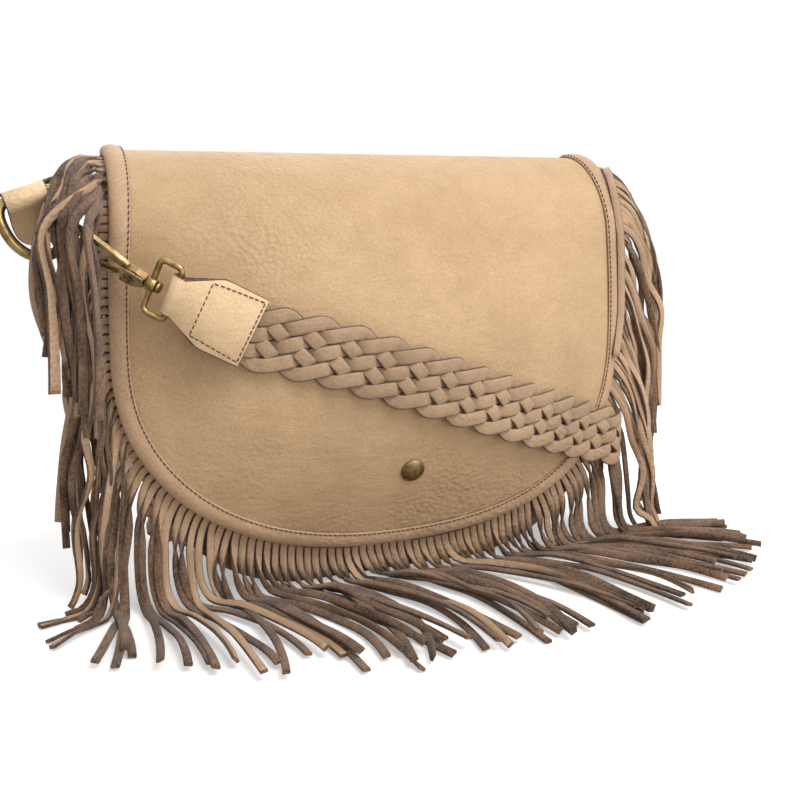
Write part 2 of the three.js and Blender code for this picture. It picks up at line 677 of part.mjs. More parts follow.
function hookBody() {
  const t = HOOK_BODY_THICK / 2;
  const mid = -0.6;
  const top = mid + HOOK_BODY_WIDTH / 2;
  const low = mid - HOOK_BODY_WIDTH / 2;
  const blockStart = BOSS_LENGTH / 2 + RUN_GAP;
  const neck = STEM_RADIUS + 1;
  const outline = [[blockStart, -neck], [HOOK_BLOCK_FROM, low], [HOOK_BLOCK_TO, low], [HOOK_BLOCK_TO, top]];
  outline.push([HOOK_BLOCK_FROM, top], [blockStart, neck]);
  const face = (n) => outline.map(([u, w]) => hookPoint(u, w, n));
  let solid = toSolid(loft([face(-t), face(t)]));
  const slot = GATE_RADIUS + RUN_GAP;
  const slotFrom = PIVOT_U - GATE_EYE_RADIUS - 1.8;
  const slotTo = HOOK_BLOCK_TO + 1;
  const slotOutline = [[slotFrom, low - 1], [slotTo, low - 1], [slotTo, SLOT_TOP_W], [slotFrom, SLOT_TOP_W]];
  const slotFace = (n) => slotOutline.map(([u, w]) => hookPoint(u, w, n));
  solid = solid.subtract(toSolid(loft([slotFace(-slot), slotFace(slot)])));
  const arm = [[HOOK_BLOCK_TO - 1.5, top + 0.1], [22, 6.6], [33, HOOK_ARM_W - 2.2]];
  arm.push([HOOK_END_U - 14, HOOK_ARM_W], [HOOK_END_U - 6, HOOK_ARM_W - 0.8]);
  arm.push([HOOK_END_U - 0.8, 6.6], [HOOK_END_U, 0]);
  arm.push([HOOK_END_U - 1.2, -5], [HOOK_END_U - 4.6, -8], [HOOK_END_U - 8.6, -8.8]);
  const points = samples(arm.map(([u, w]) => hookPoint(u, w)), false, 22);
  solid = solid.add(toSolid(wire(points, hookN, HOOK_WIRE_RADIUS, false)));
  const stemEnd = hookPoint(-BOSS_LENGTH / 2 - 1.4, 0);
  solid = solid.add(toSolid(rod(hookPoint(blockStart + 1, 0), stemEnd, STEM_RADIUS)));
  const head = -BOSS_LENGTH / 2 - RUN_GAP;
  solid = solid.add(toSolid(rod(hookPoint(head, 0), hookPoint(head - 1.8, 0), STEM_HEAD_RADIUS)));
  const pin = HOOK_BODY_THICK;
  const hole = rod(hookPoint(PIVOT_U, PIVOT_W, -pin), hookPoint(PIVOT_U, PIVOT_W, pin), PIN_RADIUS + GAP);
  return fromSolid(solid.subtract(toSolid(hole)));
}

function gate() {
  const tip = hookPoint(HOOK_END_U - GATE_SHORT, GATE_TIP_W);
  const eye = GATE_THICK / 2;
  const pivot = (n) => hookPoint(PIVOT_U, PIVOT_W, n);
  const beam = toSolid(rod(pivot(0), tip, GATE_RADIUS, 8));
  const solid = beam.add(toSolid(rod(pivot(-eye), pivot(eye), GATE_EYE_RADIUS)));
  return fromSolid(solid.subtract(toSolid(rod(pivot(-4), pivot(4), PIN_RADIUS + RUN_GAP))));
}

function strapRing() {
  const half = RING_INNER / 2 + RING_WIRE_RADIUS;
  const r = RING_CORNER;
  const points = [];
  const far = r - RING_REACH;
  for (const [u, w, a] of [[-r, half - r, 0], [far, half - r, 1], [far, r - half, 2], [-r, r - half, 3]]) {
    for (let k = 0; k <= 3; k += 1) {
      const t = (a + k / 3) * QUARTER;
      points.push(ringPoint(u + r * Math.cos(t), w + r * Math.sin(t)));
    }
  }
  const bossEnd = BOSS_LENGTH / 2;
  const boss = toSolid(rod(hookPoint(-bossEnd, 0), hookPoint(bossEnd, 0), BOSS_RADIUS));
  const solid = toSolid(wire(points, ringN, RING_WIRE_RADIUS, true)).add(boss);
  return fromSolid(solid.subtract(toSolid(rod(hookPoint(-6, 0), hookPoint(6, 0), STEM_RADIUS + RUN_GAP))));
}

// The leather end of the strap: down its front face, round the ring's bar and back along its rear face
function strapTab() {
  const stations = [];
  const wide = V(0, 0, 1).addScaledVector(tabWay, -tabWay.z).normalize();
  const turn = RING_WIRE_RADIUS + RUN_GAP + 0.2 + TAB_THICK / 2;
  const flat = BRAID_THICK / 2 + GAP + 0.5 + TAB_THICK / 2;
  const station = (s, n) => {
    const k = clamp((s - STRAP_FLARE_START) / (STRAP_FLARE_END - STRAP_FLARE_START), 0, 1);
    const across = ringW.clone().lerp(wide, k);
    const face = across.clone().cross(tabWay).normalize();
    const p = ringBar.clone().addScaledVector(tabWay, s).addScaledVector(face, n);
    stations.push({ p, across, width: mix(STRAP_NECK_WIDTH, STRAP_TAB_WIDTH, k), thick: TAB_THICK });
  };
  for (const s of [STRAP_TAB_LENGTH, 30, 18, 13, 9, 5]) station(s, mix(turn, flat, smooth(s / 16)));
  for (let i = 0; i <= 6; i += 1) {
    const a = QUARTER * (1 - i / 3);
    station(-turn * Math.cos(a), turn * Math.sin(a));
  }
  for (const s of [5, 9, 13, 18, 30, STRAP_TAB_LENGTH - 1.5]) station(s, -mix(turn, flat, smooth(s / 16)));
  return strip(stations);
}

// The leather tab that holds the D-ring: from the gusset's end, round the bar, and back under itself
function ringTab() {
  const turn = D_WIRE_RADIUS + RUN_GAP + 0.4 + TAB_THICK / 2;
  const side = -(BODY_HALF + GAP + TAB_THICK / 2);
  const top = TAB_TOP_Z;
  const root = (out, z) => V(side - out, TAB_ROOT_Y, z);
  const offBar = (up, back) => dBar.clone().addScaledVector(dUp, up).addScaledVector(dFace, -back);
  const atBar = (a) => offBar(turn * Math.sin(a), turn * Math.cos(a));
  const stations = [[root(0, TAB_ROOT_Z), 0], [root(0, TAB_ROOT_Z + 18), 0]];
  stations.push([root(3, TAB_ROOT_Z + 35), 0.08]);
  const besideBar = offBar(turn, 9);
  stations.push([root(15, top), 0.3], [root(34, top + 0.2).add(V(0, -10, 0)), 0.8], [besideBar, 1]);
  for (let i = 0; i <= 4; i += 1) stations.push([atBar(QUARTER * (1 + i / 2)), 1]);
  const under = TAB_THICK + 2 * GAP;
  const slack = (down, back) => offBar(-turn - down, back);
  stations.push([slack(3, 7), 1], [slack(12, 11), 0.95], [slack(17, 20).add(V(9, 0, 0)), 0.7]);
  stations.push([root(14, TAB_ROOT_Z + 21), 0.3], [root(under + 2, TAB_ROOT_Z + 14), 0.05]);
  stations.push([root(under, TAB_ROOT_Z + 2), 0]);
  const rootWay = V(0, -1, 0);
  return strip(stations.map(([p, k]) => ({
    p, across: rootWay.clone().lerp(dWay, k), width: mix(TAB_WIDTH, TAB_BAR_WIDTH, k), thick: TAB_THICK,
  })));
}

function addHardware() {
  const pinEnd = (side) => hookPoint(PIVOT_U, PIVOT_W, (side * HOOK_BODY_THICK) / 2);
  const made = {
    ring_tab: [ringTab(), LEATHER_MAT],
    d_ring: [dRing(), BRASS_MAT],
    hook: [hookBody(), BRASS_MAT],
    gate: [gate(), BRASS_MAT],
    gate_pin: [rod(pinEnd(-1), pinEnd(1), PIN_RADIUS), BRASS_MAT],
    strap_ring: [strapRing(), BRASS_MAT],
    strap_tab: [strapTab(), LEATHER_MAT],
  };
  for (const [name, [geometry, material]] of Object.entries(made)) {
    add(`left_${name}`, geometry, material);
    add(`right_${name}`, geometry.clone().rotateZ(Math.PI).translate(0, 2 * TURN_Y, 0), material);
  }
}

// The braid's way: across the flap, round the right side, along the back, round a turn behind the bag
// and up to the right-hand ring. Its points are chosen by hand; those on the flap lie on its face
const FRONT_WAY = [[-46, 139], [5, 121], [60, 101], [105, 85], [132, 76]];
const BEHIND_WAY = [
  V(153, -50, 70), V(166, -32, 66), V(170, -8, 62), V(164, 16, 58), V(146, 31, 54), V(110, 34, 48),
  V(60, 34, 40), V(10, 35, 33), V(-40, 36, 27), V(-84, 38, 22), V(-112, 46, 20), V(-124, 63, 20),
  V(-113, 81, 22), V(-86, 89, 31), V(-50, 87, 49), V(-5, 80, 80), V(44, 71, 117),
];

function halfTurned(p) {
  return V(-p.x, 2 * TURN_Y - p.y, p.z);
}

function braid() {
  const inTab = (s) => ringBar.clone().addScaledVector(tabWay, s);
  const front = FRONT_WAY.map(([x, z]) => V(x, flapY(x, z) - STRAP_STANDOFF - BRAID_THICK / 2, z));
  const start = [inTab(RING_REACH + 3), inTab(STRAP_TAB_LENGTH - 8), inTab(STRAP_TAB_LENGTH + 4)];
  const end = start.map(halfTurned).reverse();
  const curve = new THREE.CatmullRomCurve3([...start, ...front, ...BEHIND_WAY, ...end], false, 'centripetal');
  curve.arcLengthDivisions = 1500;
  const length = curve.getLength();
  const steps = Math.round(length / (BRAID_REPEAT / 4));
  const rings = [];
  for (let i = 0; i <= steps; i += 1) {
    const p = curve.getPointAt(i / steps);
    const t = curve.getTangentAt(i / steps);
    const w = V(0, 0, 1).addScaledVector(t, -t.z).normalize();
    const n = w.clone().cross(t);
    const phase = i % 4;
    const hidden = Math.min(i, steps - i) * (length / steps) < STRAP_TAB_LENGTH - RING_REACH;
    const scallop = hidden ? 0 : BRAID_SCALLOP;
    const relief = hidden ? 0 : BRAID_RELIEF;
    const half = BRAID_HALF - BRAID_SCALLOP;
    const at = (a, b) => p.clone().addScaledVector(w, a).addScaledVector(n, b);
    const ring = [at(-half - scallop * (phase < 2 ? 1 : -1), 0)];
    const across = [-0.45, 0.45];
    const face = (side) => across.map((a, k) => {
      const high = (k + (phase < 2 ? 0 : 1)) % 2 === 0;
      return at(a * half, side * (BRAID_THICK / 2 - (high ? 0 : relief)));
    });
    ring.push(...face(-1), at(half + scallop * (phase < 2 ? -1 : 1), 0), ...face(1).reverse());
    rings.push(ring);
  }
  return loft(rings);
}

addShell();
addBinding();
addFringes();
addSnap();
addHardware();
add('braided_strap', braid(), LEATHER_MAT);

export default group;
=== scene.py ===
import bpy
import math
import random
import numpy as np
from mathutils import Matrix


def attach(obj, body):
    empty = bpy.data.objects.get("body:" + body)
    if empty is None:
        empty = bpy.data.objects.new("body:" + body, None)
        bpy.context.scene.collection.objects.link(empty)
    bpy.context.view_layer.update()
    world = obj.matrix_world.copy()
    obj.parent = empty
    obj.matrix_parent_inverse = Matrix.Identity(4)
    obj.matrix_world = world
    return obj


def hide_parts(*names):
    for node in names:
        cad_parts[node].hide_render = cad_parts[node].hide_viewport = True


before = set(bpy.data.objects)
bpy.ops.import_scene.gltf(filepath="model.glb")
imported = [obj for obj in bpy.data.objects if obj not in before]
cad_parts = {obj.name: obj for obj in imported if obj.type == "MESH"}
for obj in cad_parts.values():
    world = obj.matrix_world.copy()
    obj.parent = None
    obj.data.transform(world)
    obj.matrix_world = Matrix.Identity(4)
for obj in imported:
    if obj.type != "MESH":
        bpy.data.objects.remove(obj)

# A fringed leather shoulder bag. Lengths are in millimetres until a mesh is made, and the flap's shape,
# the hardware's places and the strap's way repeat those of the solids.
MM = 0.001
QUARTER = math.pi / 2
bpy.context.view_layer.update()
RNG = random.Random(11)
SCENE = bpy.context.scene

# Flap and body, as in the solids
FLAP_TOP_HALF = 150.0
FLAP_FLARE = 6.2
FLAP_WIDE_HALF = FLAP_TOP_HALF + FLAP_FLARE
FLAP_TOP_Z = 246.0
FLAP_WIDEST_Z = 137.0
FLAP_LOW_Z = 22.5
FLAP_SQUARENESS = 2.3
FLAP_TIP_HALF = 10.0
FLAP_FRONT = 41.0
FOLD_DROP = 45.0
BELLY = 43.0
LEATHER = 2.2
BODY_HALF = 146.0
CORNER_RADIUS = 100.0
PANEL_TOP_Z = 205.0
BACK_Y = 24.5
GUSSET_FRONT_Y = -34.0
GUSSET_TOP_Z = 200.0
PANEL_BELLY = 31.0
PANEL_BELLY_HEIGHT = 235.0
GUSSET_SAG = 2.6
GAP = 0.3
TURN_Y = -6.0

# Stitches and fringe
STITCH_PITCH = 3.1
STITCH_LENGTH = 2.7
STITCH_RADIUS = 0.37
STRIP_PITCH = 4.8
STRIP_LENGTH = 146.0
STRIP_THICK = 1.9


def srgb(r, g, b):
    out = []
    for v in (r, g, b):
        c = v / 255.0
        out.append(c / 12.92 if c <= 0.04045 else ((c + 0.055) / 1.055) ** 2.4)
    return (*out, 1.0)


def mix(a, b, t):
    return a + (b - a) * t


def smooth(t):
    k = min(1.0, max(0.0, t))
    return k * k * (3 - 2 * k)


def vec(*v):
    return np.array(v, dtype=float)


def unit(v):
    return v / np.linalg.norm(v)


def square_to(v, axis):
    """The part of v that is square to axis, as a unit vector"""
    return unit(v - axis * np.dot(v, axis))


def tangent_at(points, i):
    return unit(points[min(i + 1, len(points) - 1)] - points[max(i - 1, 0)])


# Materials
def new_node(nt, kind):
    return nt.nodes.new("ShaderNode" + kind)


def empty_tree(owner, output):
    """A node tree with nothing in it but the output node"""
    owner.use_nodes = True
    nt = owner.node_tree
    nt.nodes.clear()
    return nt, new_node(nt, output)


def set_inputs(node, values):
    for name, value in values.items():
        node.inputs[name].default_value = value


def set_sheen(bsdf, weight, rough, specular):
    set_inputs(bsdf, {"Sheen Weight": weight, "Sheen Roughness": rough, "Specular IOR Level": specular})


def new_material(name):
    m = bpy.data.materials.new(name)
    nt, out = empty_tree(m, "OutputMaterial")
    bsdf = new_node(nt, "BsdfPrincipled")
    nt.links.new(bsdf.outputs[0], out.inputs[0])
    coord = new_node(nt, "TexCoord")
    return m, nt, bsdf, coord.outputs["Object"]


def noise(nt, coord, scale, detail, rough=0.55, stretch=None):
    n = new_node(nt, "TexNoise")
    set_inputs(n, {"Scale": scale, "Detail": detail, "Roughness": rough})
    if stretch:
        mp = new_node(nt, "Mapping")
        mp.inputs["Scale"].default_value = stretch
        nt.links.new(coord, mp.inputs["Vector"])
        coord = mp.outputs[0]
    nt.links.new(coord, n.inputs["Vector"])
    return n.outputs["Fac"]


def cells(nt, coord, scale):
    n = new_node(nt, "TexVoronoi")
    n.inputs["Scale"].default_value = scale
    nt.links.new(coord, n.inputs["Vector"])
    return n.outputs["Distance"]


def remap(nt, value, lo, hi, to_lo=0.0, to_hi=1.0):
    m = new_node(nt, "MapRange")
    set_inputs(m, {"From Min": lo, "From Max": hi, "To Min": to_lo, "To Max": to_hi})
    nt.links.new(value, m.inputs["Value"])
    return m.outputs[0]


def blend_colour(nt, factor, a, b):
    m = new_node(nt, "Mix")
    m.data_type = "RGBA"
    nt.links.new(factor, m.inputs["Factor"])
    for socket, colour in ((6, a), (7, b)):
        if isinstance(colour, tuple):
            m.inputs[socket].default_value = colour
        else:
            nt.links.new(colour, m.inputs[socket])
    return m.outputs[2]


def math_node(nt, kind, a, b):
    m = new_node(nt, "Math")
    m.operation = kind
    for i, v in enumerate((a, b)):
        if isinstance(v, (int, float)):
            m.inputs[i].default_value = v
        else:
            nt.links.new(v, m.inputs[i])
    return m.outputs[0]


def bump(nt, bsdf, layers):
    """Layers of (height, strength, distance in mm), the finest last."""
    normal = None
    for height, strength, distance in layers:
        b = new_node(nt, "Bump")
        set_inputs(b, {"Strength": strength, "Distance": distance * MM})
        nt.links.new(height, b.inputs["Height"])
        if normal:
            nt.links.new(normal, b.inputs["Normal"])
        normal = b.outputs[0]
    nt.links.new(normal, bsdf.inputs["Normal"])


def nubuck(name, light, deep, rough=0.62):
    """Smooth leather with a fine nap: soft mottling, fine pores, and marks where it was handled."""
    m, nt, bsdf, co = new_material(name)
    broad = remap(nt, noise(nt, co, 16, 3), 0.32, 0.7)
    middle = remap(nt, noise(nt, co, 90, 5, 0.6), 0.3, 0.75)
    fine = noise(nt, co, 1100, 3, 0.6)
    broad_share = math_node(nt, "MULTIPLY", broad, 0.55)
    tone = math_node(nt, "ADD", broad_share, math_node(nt, "MULTIPLY", middle, 0.3))
    colour = blend_colour(nt, tone, light, deep)
    speck = remap(nt, fine, 0.38, 0.66, 0.0, 0.42)
    colour = blend_colour(nt, speck, colour, tuple(0.66 * c for c in deep[:3]) + (1.0,))
    nt.links.new(colour, bsdf.inputs["Base Color"])
    nt.links.new(remap(nt, middle, 0, 1, rough - 0.06, rough + 0.1), bsdf.inputs["Roughness"])
    set_sheen(bsdf, 0.12, 0.5, 0.35)
    pores = cells(nt, co, 1300)
    wrinkle = noise(nt, co, 60, 6, 0.65, (1.0, 1.0, 2.6))
    worn = remap(nt, noise(nt, co, 9, 2), 0.42, 0.6)
    grain = math_node(nt, "MULTIPLY", cells(nt, co, 360), worn)
    layers = [(broad, 0.4, 3.0), (wrinkle, 0.6, 1.3), (grain, 0.7, 0.9)]
    bump(nt, bsdf, layers + [(pores, 0.4, 0.16), (fine, 0.4, 0.18)])
    return m


def suede(name, light, dark):
    """The flesh side of leather: rough, with light and dark fibres."""
    m, nt, bsdf, co = new_material(name)
    clumps = noise(nt, co, 620, 5, 0.75)
    fuzz = noise(nt, co, 1900, 4, 0.75)
    broad = noise(nt, co, 45, 3)
    tone = math_node(nt, "ADD", math_node(nt, "MULTIPLY", clumps, 0.5), math_node(nt, "MULTIPLY", fuzz, 0.3))
    tone = math_node(nt, "ADD", tone, math_node(nt, "MULTIPLY", broad, 0.35))
    colour = blend_colour(nt, remap(nt, tone, 0.47, 0.7), dark, light)
    nt.links.new(colour, bsdf.inputs["Base Color"])
    bsdf.inputs["Roughness"].default_value = 0.95
    set_sheen(bsdf, 0.25, 0.6, 0.15)
    bump(nt, bsdf, [(clumps, 0.8, 0.9), (fuzz, 0.9, 0.4)])
    return m


def antique_brass(name, bright, patina):
    """Brass worn bright in places and dull in others."""
    m, nt, bsdf, co = new_material(name)
    worn = remap(nt, noise(nt, co, 160, 4, 0.6), 0.38, 0.68)
    fine = noise(nt, co, 900, 3)
    colour = blend_colour(nt, worn, bright, patina)
    nt.links.new(colour, bsdf.inputs["Base Color"])
    bsdf.inputs["Metallic"].default_value = 1.0
    nt.links.new(remap(nt, worn, 0, 1, 0.26, 0.42), bsdf.inputs["Roughness"])
    bump(nt, bsdf, [(fine, 0.08, 0.1)])
    return m


def thread_material():
    m, nt, bsdf, co = new_material("thread")
    fine = noise(nt, co, 2600, 2)
    nt.links.new(blend_colour(nt, fine, srgb(62, 40, 28), srgb(104, 74, 52)), bsdf.inputs["Base Color"])
    bsdf.inputs["Roughness"].default_value = 0.6
    bump(nt, bsdf, [(fine, 0.5, 0.1)])
    return m


LEATHER_MAT = nubuck("leather_sand", srgb(216, 181, 138), srgb(186, 151, 113))
BINDING_MAT = nubuck("leather_binding", srgb(212, 176, 140), srgb(180, 146, 114))
STRAND_MAT = nubuck("leather_strand", srgb(198, 165, 131), srgb(156, 126, 98), 0.5)
TAB_MAT = nubuck("leather_tab", srgb(250, 216, 172), srgb(224, 188, 146), 0.5)
SMOOTH_MAT = nubuck("fringe_smooth", srgb(206, 172, 138), srgb(168, 136, 106), 0.6)
SUEDE_MAT = suede("fringe_suede", srgb(164, 126, 95), srgb(50, 34, 25))
EDGE_MAT = suede("raw_edge", srgb(132, 100, 78), srgb(52, 36, 28))
INSIDE_MAT = suede("flesh_side", srgb(170, 138, 108), srgb(120, 92, 70))
BRASS_MAT = antique_brass("antique_brass", srgb(184, 158, 106), srgb(104, 86, 56))
# A darker brass for the hook and the gate pins
DARK_BRASS_MAT = antique_brass("antique_brass_dark", srgb(170, 146, 104), srgb(78, 62, 44))
THREAD_MAT = thread_material()
SHELL_MATS = [LEATHER_MAT, INSIDE_MAT, EDGE_MAT]


# Meshes
def add_object(name, data):
    ob = bpy.data.objects.new(name, data)
    SCENE.collection.objects.link(ob)
    return ob


def make(name, verts, faces, materials, indices, body="bag", slot=None, replaces=(), flat=None):
    """A mesh piece from points in millimetres that rides on a body."""
    mesh = bpy.data.meshes.new(name)
    mesh.from_pydata([tuple(v) for v in np.asarray(verts) * MM], [], faces)
    for m in materials:
        mesh.materials.append(m)
    mesh.polygons.foreach_set("material_index", indices)
    mesh.polygons.foreach_set("use_smooth", [not v for v in flat] if flat else [True] * len(mesh.polygons))
    mesh.validate()
    mesh.update()
    ob = add_object(name, mesh)
    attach(ob, body)
    if replaces:
        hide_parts(*replaces)
    return ob


class Shape:
    """Gathers points and faces of several closed forms into one piece."""

    def __init__(self):
        self.verts = []
        self.faces = []
        self.index = []
        self.flat = []

    def loft(self, rings, loop=False, materials=None, cap=0, crisp=False):
        """Skins rings of equal length. materials gives each side's material index round the ring."""
        base = len(self.verts)
        n = len(rings[0])
        count = len(rings)
        for ring in rings:
            self.verts.extend(ring)
        for i in range(count if loop else count - 1):
            a = base + i * n
            b = base + ((i + 1) % count) * n
            for k in range(n):
                m = (k + 1) % n
                self.faces.append((a + k, b + k, b + m, a + m))
                self.index.append(materials[k] if materials else 0)
                self.flat.append(crisp)
        if not loop:
            self.faces.append(tuple(base + k for k in range(n)))
            self.faces.append(tuple(base + (count - 1) * n + k for k in reversed(range(n))))
            self.index.extend([cap, cap])
            self.flat.extend([True, True])

    def turned(self):
        """The same forms for the other side: half round about the middle of the gusset."""
        other = Shape()
        other.verts = [vec(-v[0], 2 * TURN_Y - v[1], v[2]) for v in self.verts]
        other.faces, other.index, other.flat = self.faces, self.index, self.flat
        return other

    def make(self, name, materials, **words):
        return make(name, self.verts, self.faces, materials, self.index, flat=self.flat, **words)


def catmull(points, per, loop=False):
    """A centripetal curve through points, sampled evenly along its length by Route."""
    pts = [np.asarray(p, float) for p in points]
    n = len(pts)
    out = []
    for i in range(n if loop else n - 1):
        p1, p2 = pts[i], pts[(i + 1) % n]
        p0 = pts[(i - 1) % n] if loop or i > 0 else p1 * 2 - p2
        p3 = pts[(i + 2) % n] if loop or i < n - 2 else p2 * 2 - p1
        d = [max(1e-6, np.linalg.norm(b - a) ** 0.5) for a, b in ((p0, p1), (p1, p2), (p2, p3))]
        t1, t2, t3 = d[0], d[0] + d[1], d[0] + d[1] + d[2]
        for k in range(per):
            t = mix(t1, t2, k / per)
            a1 = p0 * (t1 - t) / t1 + p1 * t / t1
            a2 = p1 * (t2 - t) / (t2 - t1) + p2 * (t - t1) / (t2 - t1)
            a3 = p2 * (t3 - t) / (t3 - t2) + p3 * (t - t2) / (t3 - t2)
            b1 = a1 * (t2 - t) / t2 + a2 * t / t2
            b2 = a2 * (t3 - t) / (t3 - t1) + a3 * (t - t1) / (t3 - t1)
            out.append(b1 * (t2 - t) / (t2 - t1) + b2 * (t - t1) / (t2 - t1))
    out.append(pts[0] if loop else pts[-1])
    return np.array(out)


class Route:
    """A polyline walked by length."""

    def __init__(self, points):
        self.p = np.asarray(points, float)
        steps = np.linalg.norm(np.diff(self.p, axis=0), axis=1)
        self.s = np.concatenate([[0], np.cumsum(steps)])
        self.length = float(self.s[-1])

    def at(self, s):
        return np.array([np.interp(s, self.s, self.p[:, k]) for k in range(3)])

    def tangent(self, s, step=1.5):
        a = self.at(max(0, s - step))
        b = self.at(min(self.length, s + step))
        return unit(b - a)


def round_section(radius, sides):
    turns = [2 * math.pi * k / sides for k in range(sides)]
    return [(radius * math.cos(a), radius * math.sin(a)) for a in turns]


def strap_section(width, thick, soft):
    """A flat strip's section with its long edges rounded. Sides 0 to 2 are its back and 4 to 6 its front."""
    w, t, r = width / 2, thick / 2, soft
    back = [(-w + r, -t), (w - r, -t), (w, -t + r)]
    front = [(w, t - r), (w - r, t), (-w + r, t)]
    return back + front + [(-w, t - r), (-w, -t + r)]


def ring_at(points, i, across, section, scale=1.0):
    """A section set square to the line at its point i, with the width along across"""
    t = tangent_at(points, i)
    w = square_to(across, t)
    n = np.cross(t, w)
    return [points[i] + w * a * scale + n * b * scale for a, b in section]


def rings_along(points, across, section, taper, taper_from):
    """Rings of one section that gets smaller by the share taper, from the share taper_from of the line on"""
    rings = []
    for i in range(len(points)):
        k = smooth((i / (len(points) - 1) - taper_from) / (1 - taper_from))
        rings.append(ring_at(points, i, across, section, 1.0 - taper * k))
    return rings


# The flap's surface and its edge
def flap_half(z):
    if z >= FLAP_WIDEST_Z:
        u = (FLAP_TOP_Z - z) / (FLAP_TOP_Z - FLAP_WIDEST_Z)
        return FLAP_TOP_HALF + FLAP_FLARE * math.sin(u * QUARTER)
    k = min(1.0, (FLAP_WIDEST_Z - z) / (FLAP_WIDEST_Z - FLAP_LOW_Z))
    return FLAP_WIDE_HALF * max(0.0, 1 - k ** FLAP_SQUARENESS) ** (1 / FLAP_SQUARENESS)


def flap_y(x, z):
    across = max(0.0, 1 - (x / FLAP_WIDE_HALF) ** 2)
    drop = max(0.0, FLAP_TOP_Z - z)
    fold = math.sqrt(1 - (1 - drop / FOLD_DROP) ** 2) if drop < FOLD_DROP else 1.0
    return -FLAP_FRONT * fold - BELLY * across * math.sin(math.pi * drop / FLAP_TOP_Z)


def flap_normal(x, z):
    e = 0.5
    gx = (flap_y(x + e, z) - flap_y(x - e, z)) / (2 * e)
    gz = (flap_y(x, z + e) - flap_y(x, z - e)) / (2 * e)
    return unit(vec(gx, -1, gz))


def edge_route():
    """The flap's edge, from its top left round to its top right"""
    half = []
    for i in range(6):
        a = 0.5 * (1 - i / 6)
        x = -mix(FLAP_TOP_HALF, BODY_HALF, a / QUARTER)
        half.append(vec(x, BACK_Y * math.sin(a), FLAP_TOP_Z - FOLD_DROP * (1 - math.cos(a))))
    heights = [FLAP_TOP_Z - FOLD_DROP * (1 - math.cos(i / 24 * QUARTER)) for i in range(24)]
    heights += [mix(FLAP_TOP_Z - FOLD_DROP, FLAP_WIDEST_Z, i / 20) for i in range(20)]
    half += [vec(-flap_half(z), flap_y(flap_half(z), z), z) for z in heights]
    for i in range(121):
        a = i / 120 * QUARTER
        x = FLAP_WIDE_HALF * max(0.0, math.cos(a)) ** (2 / FLAP_SQUARENESS)
        z = mix(FLAP_WIDEST_Z, FLAP_LOW_Z, math.sin(a) ** (2 / FLAP_SQUARENESS))
        half.append(vec(-x, flap_y(x, z), z))
    other = [vec(-p[0], p[1], p[2]) for p in half[:-1]][::-1]
    return Route(half + other)


EDGE = edge_route()


def edge_place(s):
    """(point, along, forward off the flap's face, out past its edge) at a length along the edge"""
    p = EDGE.at(s)
    t = EDGE.tangent(s, 3.0)
    over = smooth((p[2] - FLAP_TOP_Z + 16) / 14)
    face = flap_normal(p[0] * 0.99, min(p[2], FLAP_TOP_Z - 0.8))
    top = vec(0, 0.4 if p[1] > 0 else -0.25, 1)
    f = square_to(unit(face * (1 - over) + top * over), t)
    return p, t, f, unit(np.cross(t, f))


def on_edge(s, out, forward):
    p, _, f, o = edge_place(s)
    return p + o * out + f * forward


def body_half(z):
    if z >= CORNER_RADIUS:
        return BODY_HALF
    return BODY_HALF - CORNER_RADIUS + math.sqrt(CORNER_RADIUS ** 2 - (CORNER_RADIUS - z) ** 2)


def panel_y(x, z):
    across = max(0.0, 1 - (x / BODY_HALF) ** 2)
    return GUSSET_FRONT_Y - GAP - LEATHER - PANEL_BELLY * across * math.sin(math.pi * z / PANEL_BELLY_HEIGHT)


def soft_wave(x, z, scale, seed):
    """Slow hollows and swellings of soft leather, from -1 to 1"""
    a = math.sin(x / scale + seed) * math.sin(z / (scale * 0.8) + 2.1 * seed)
    b = math.sin((x + z) / (scale * 0.55) + 3.7 * seed) * math.sin((x - 1.3 * z) / (scale * 0.7) - seed)
    return 0.6 * a + 0.4 * b


def shell(name, grid, thick, materials, **words):
    """A closed leather sheet from a grid of outer points. Its materials are outside, inside and edges."""
    outer = np.array(grid)
    rows, cols = outer.shape[:2]
    up = np.gradient(outer, axis=0)
    side = np.gradient(outer, axis=1)
    normal = np.cross(up, side)
    normal /= np.linalg.norm(normal, axis=2, keepdims=True)
    inner = outer - normal * thick
    verts = np.concatenate([outer.reshape(-1, 3), inner.reshape(-1, 3)])
    verts[:, 2] = np.maximum(verts[:, 2], 0)
    total = rows * cols
    faces, index = [], []
    for r in range(rows - 1):
        for c in range(cols - 1):
            a = r * cols + c
            faces.append((a, a + 1, a + cols + 1, a + cols))
            faces.append((total + a, total + a + cols, total + a + cols + 1, total + a + 1))
            index.extend([0, 1])
    rim = [c for c in range(cols - 1)] + [r * cols + cols - 1 for r in range(rows - 1)]
    rim += [(rows - 1) * cols + c for c in range(cols - 1, 0, -1)]
    rim += [r * cols for r in range(rows - 1, 0, -1)]
    for i, a in enumerate(rim):
        b = rim[(i + 1) % len(rim)]
        faces.append((a, total + a, total + b, b))
        index.append(2)
    return make(name, verts, faces, materials, index, **words)


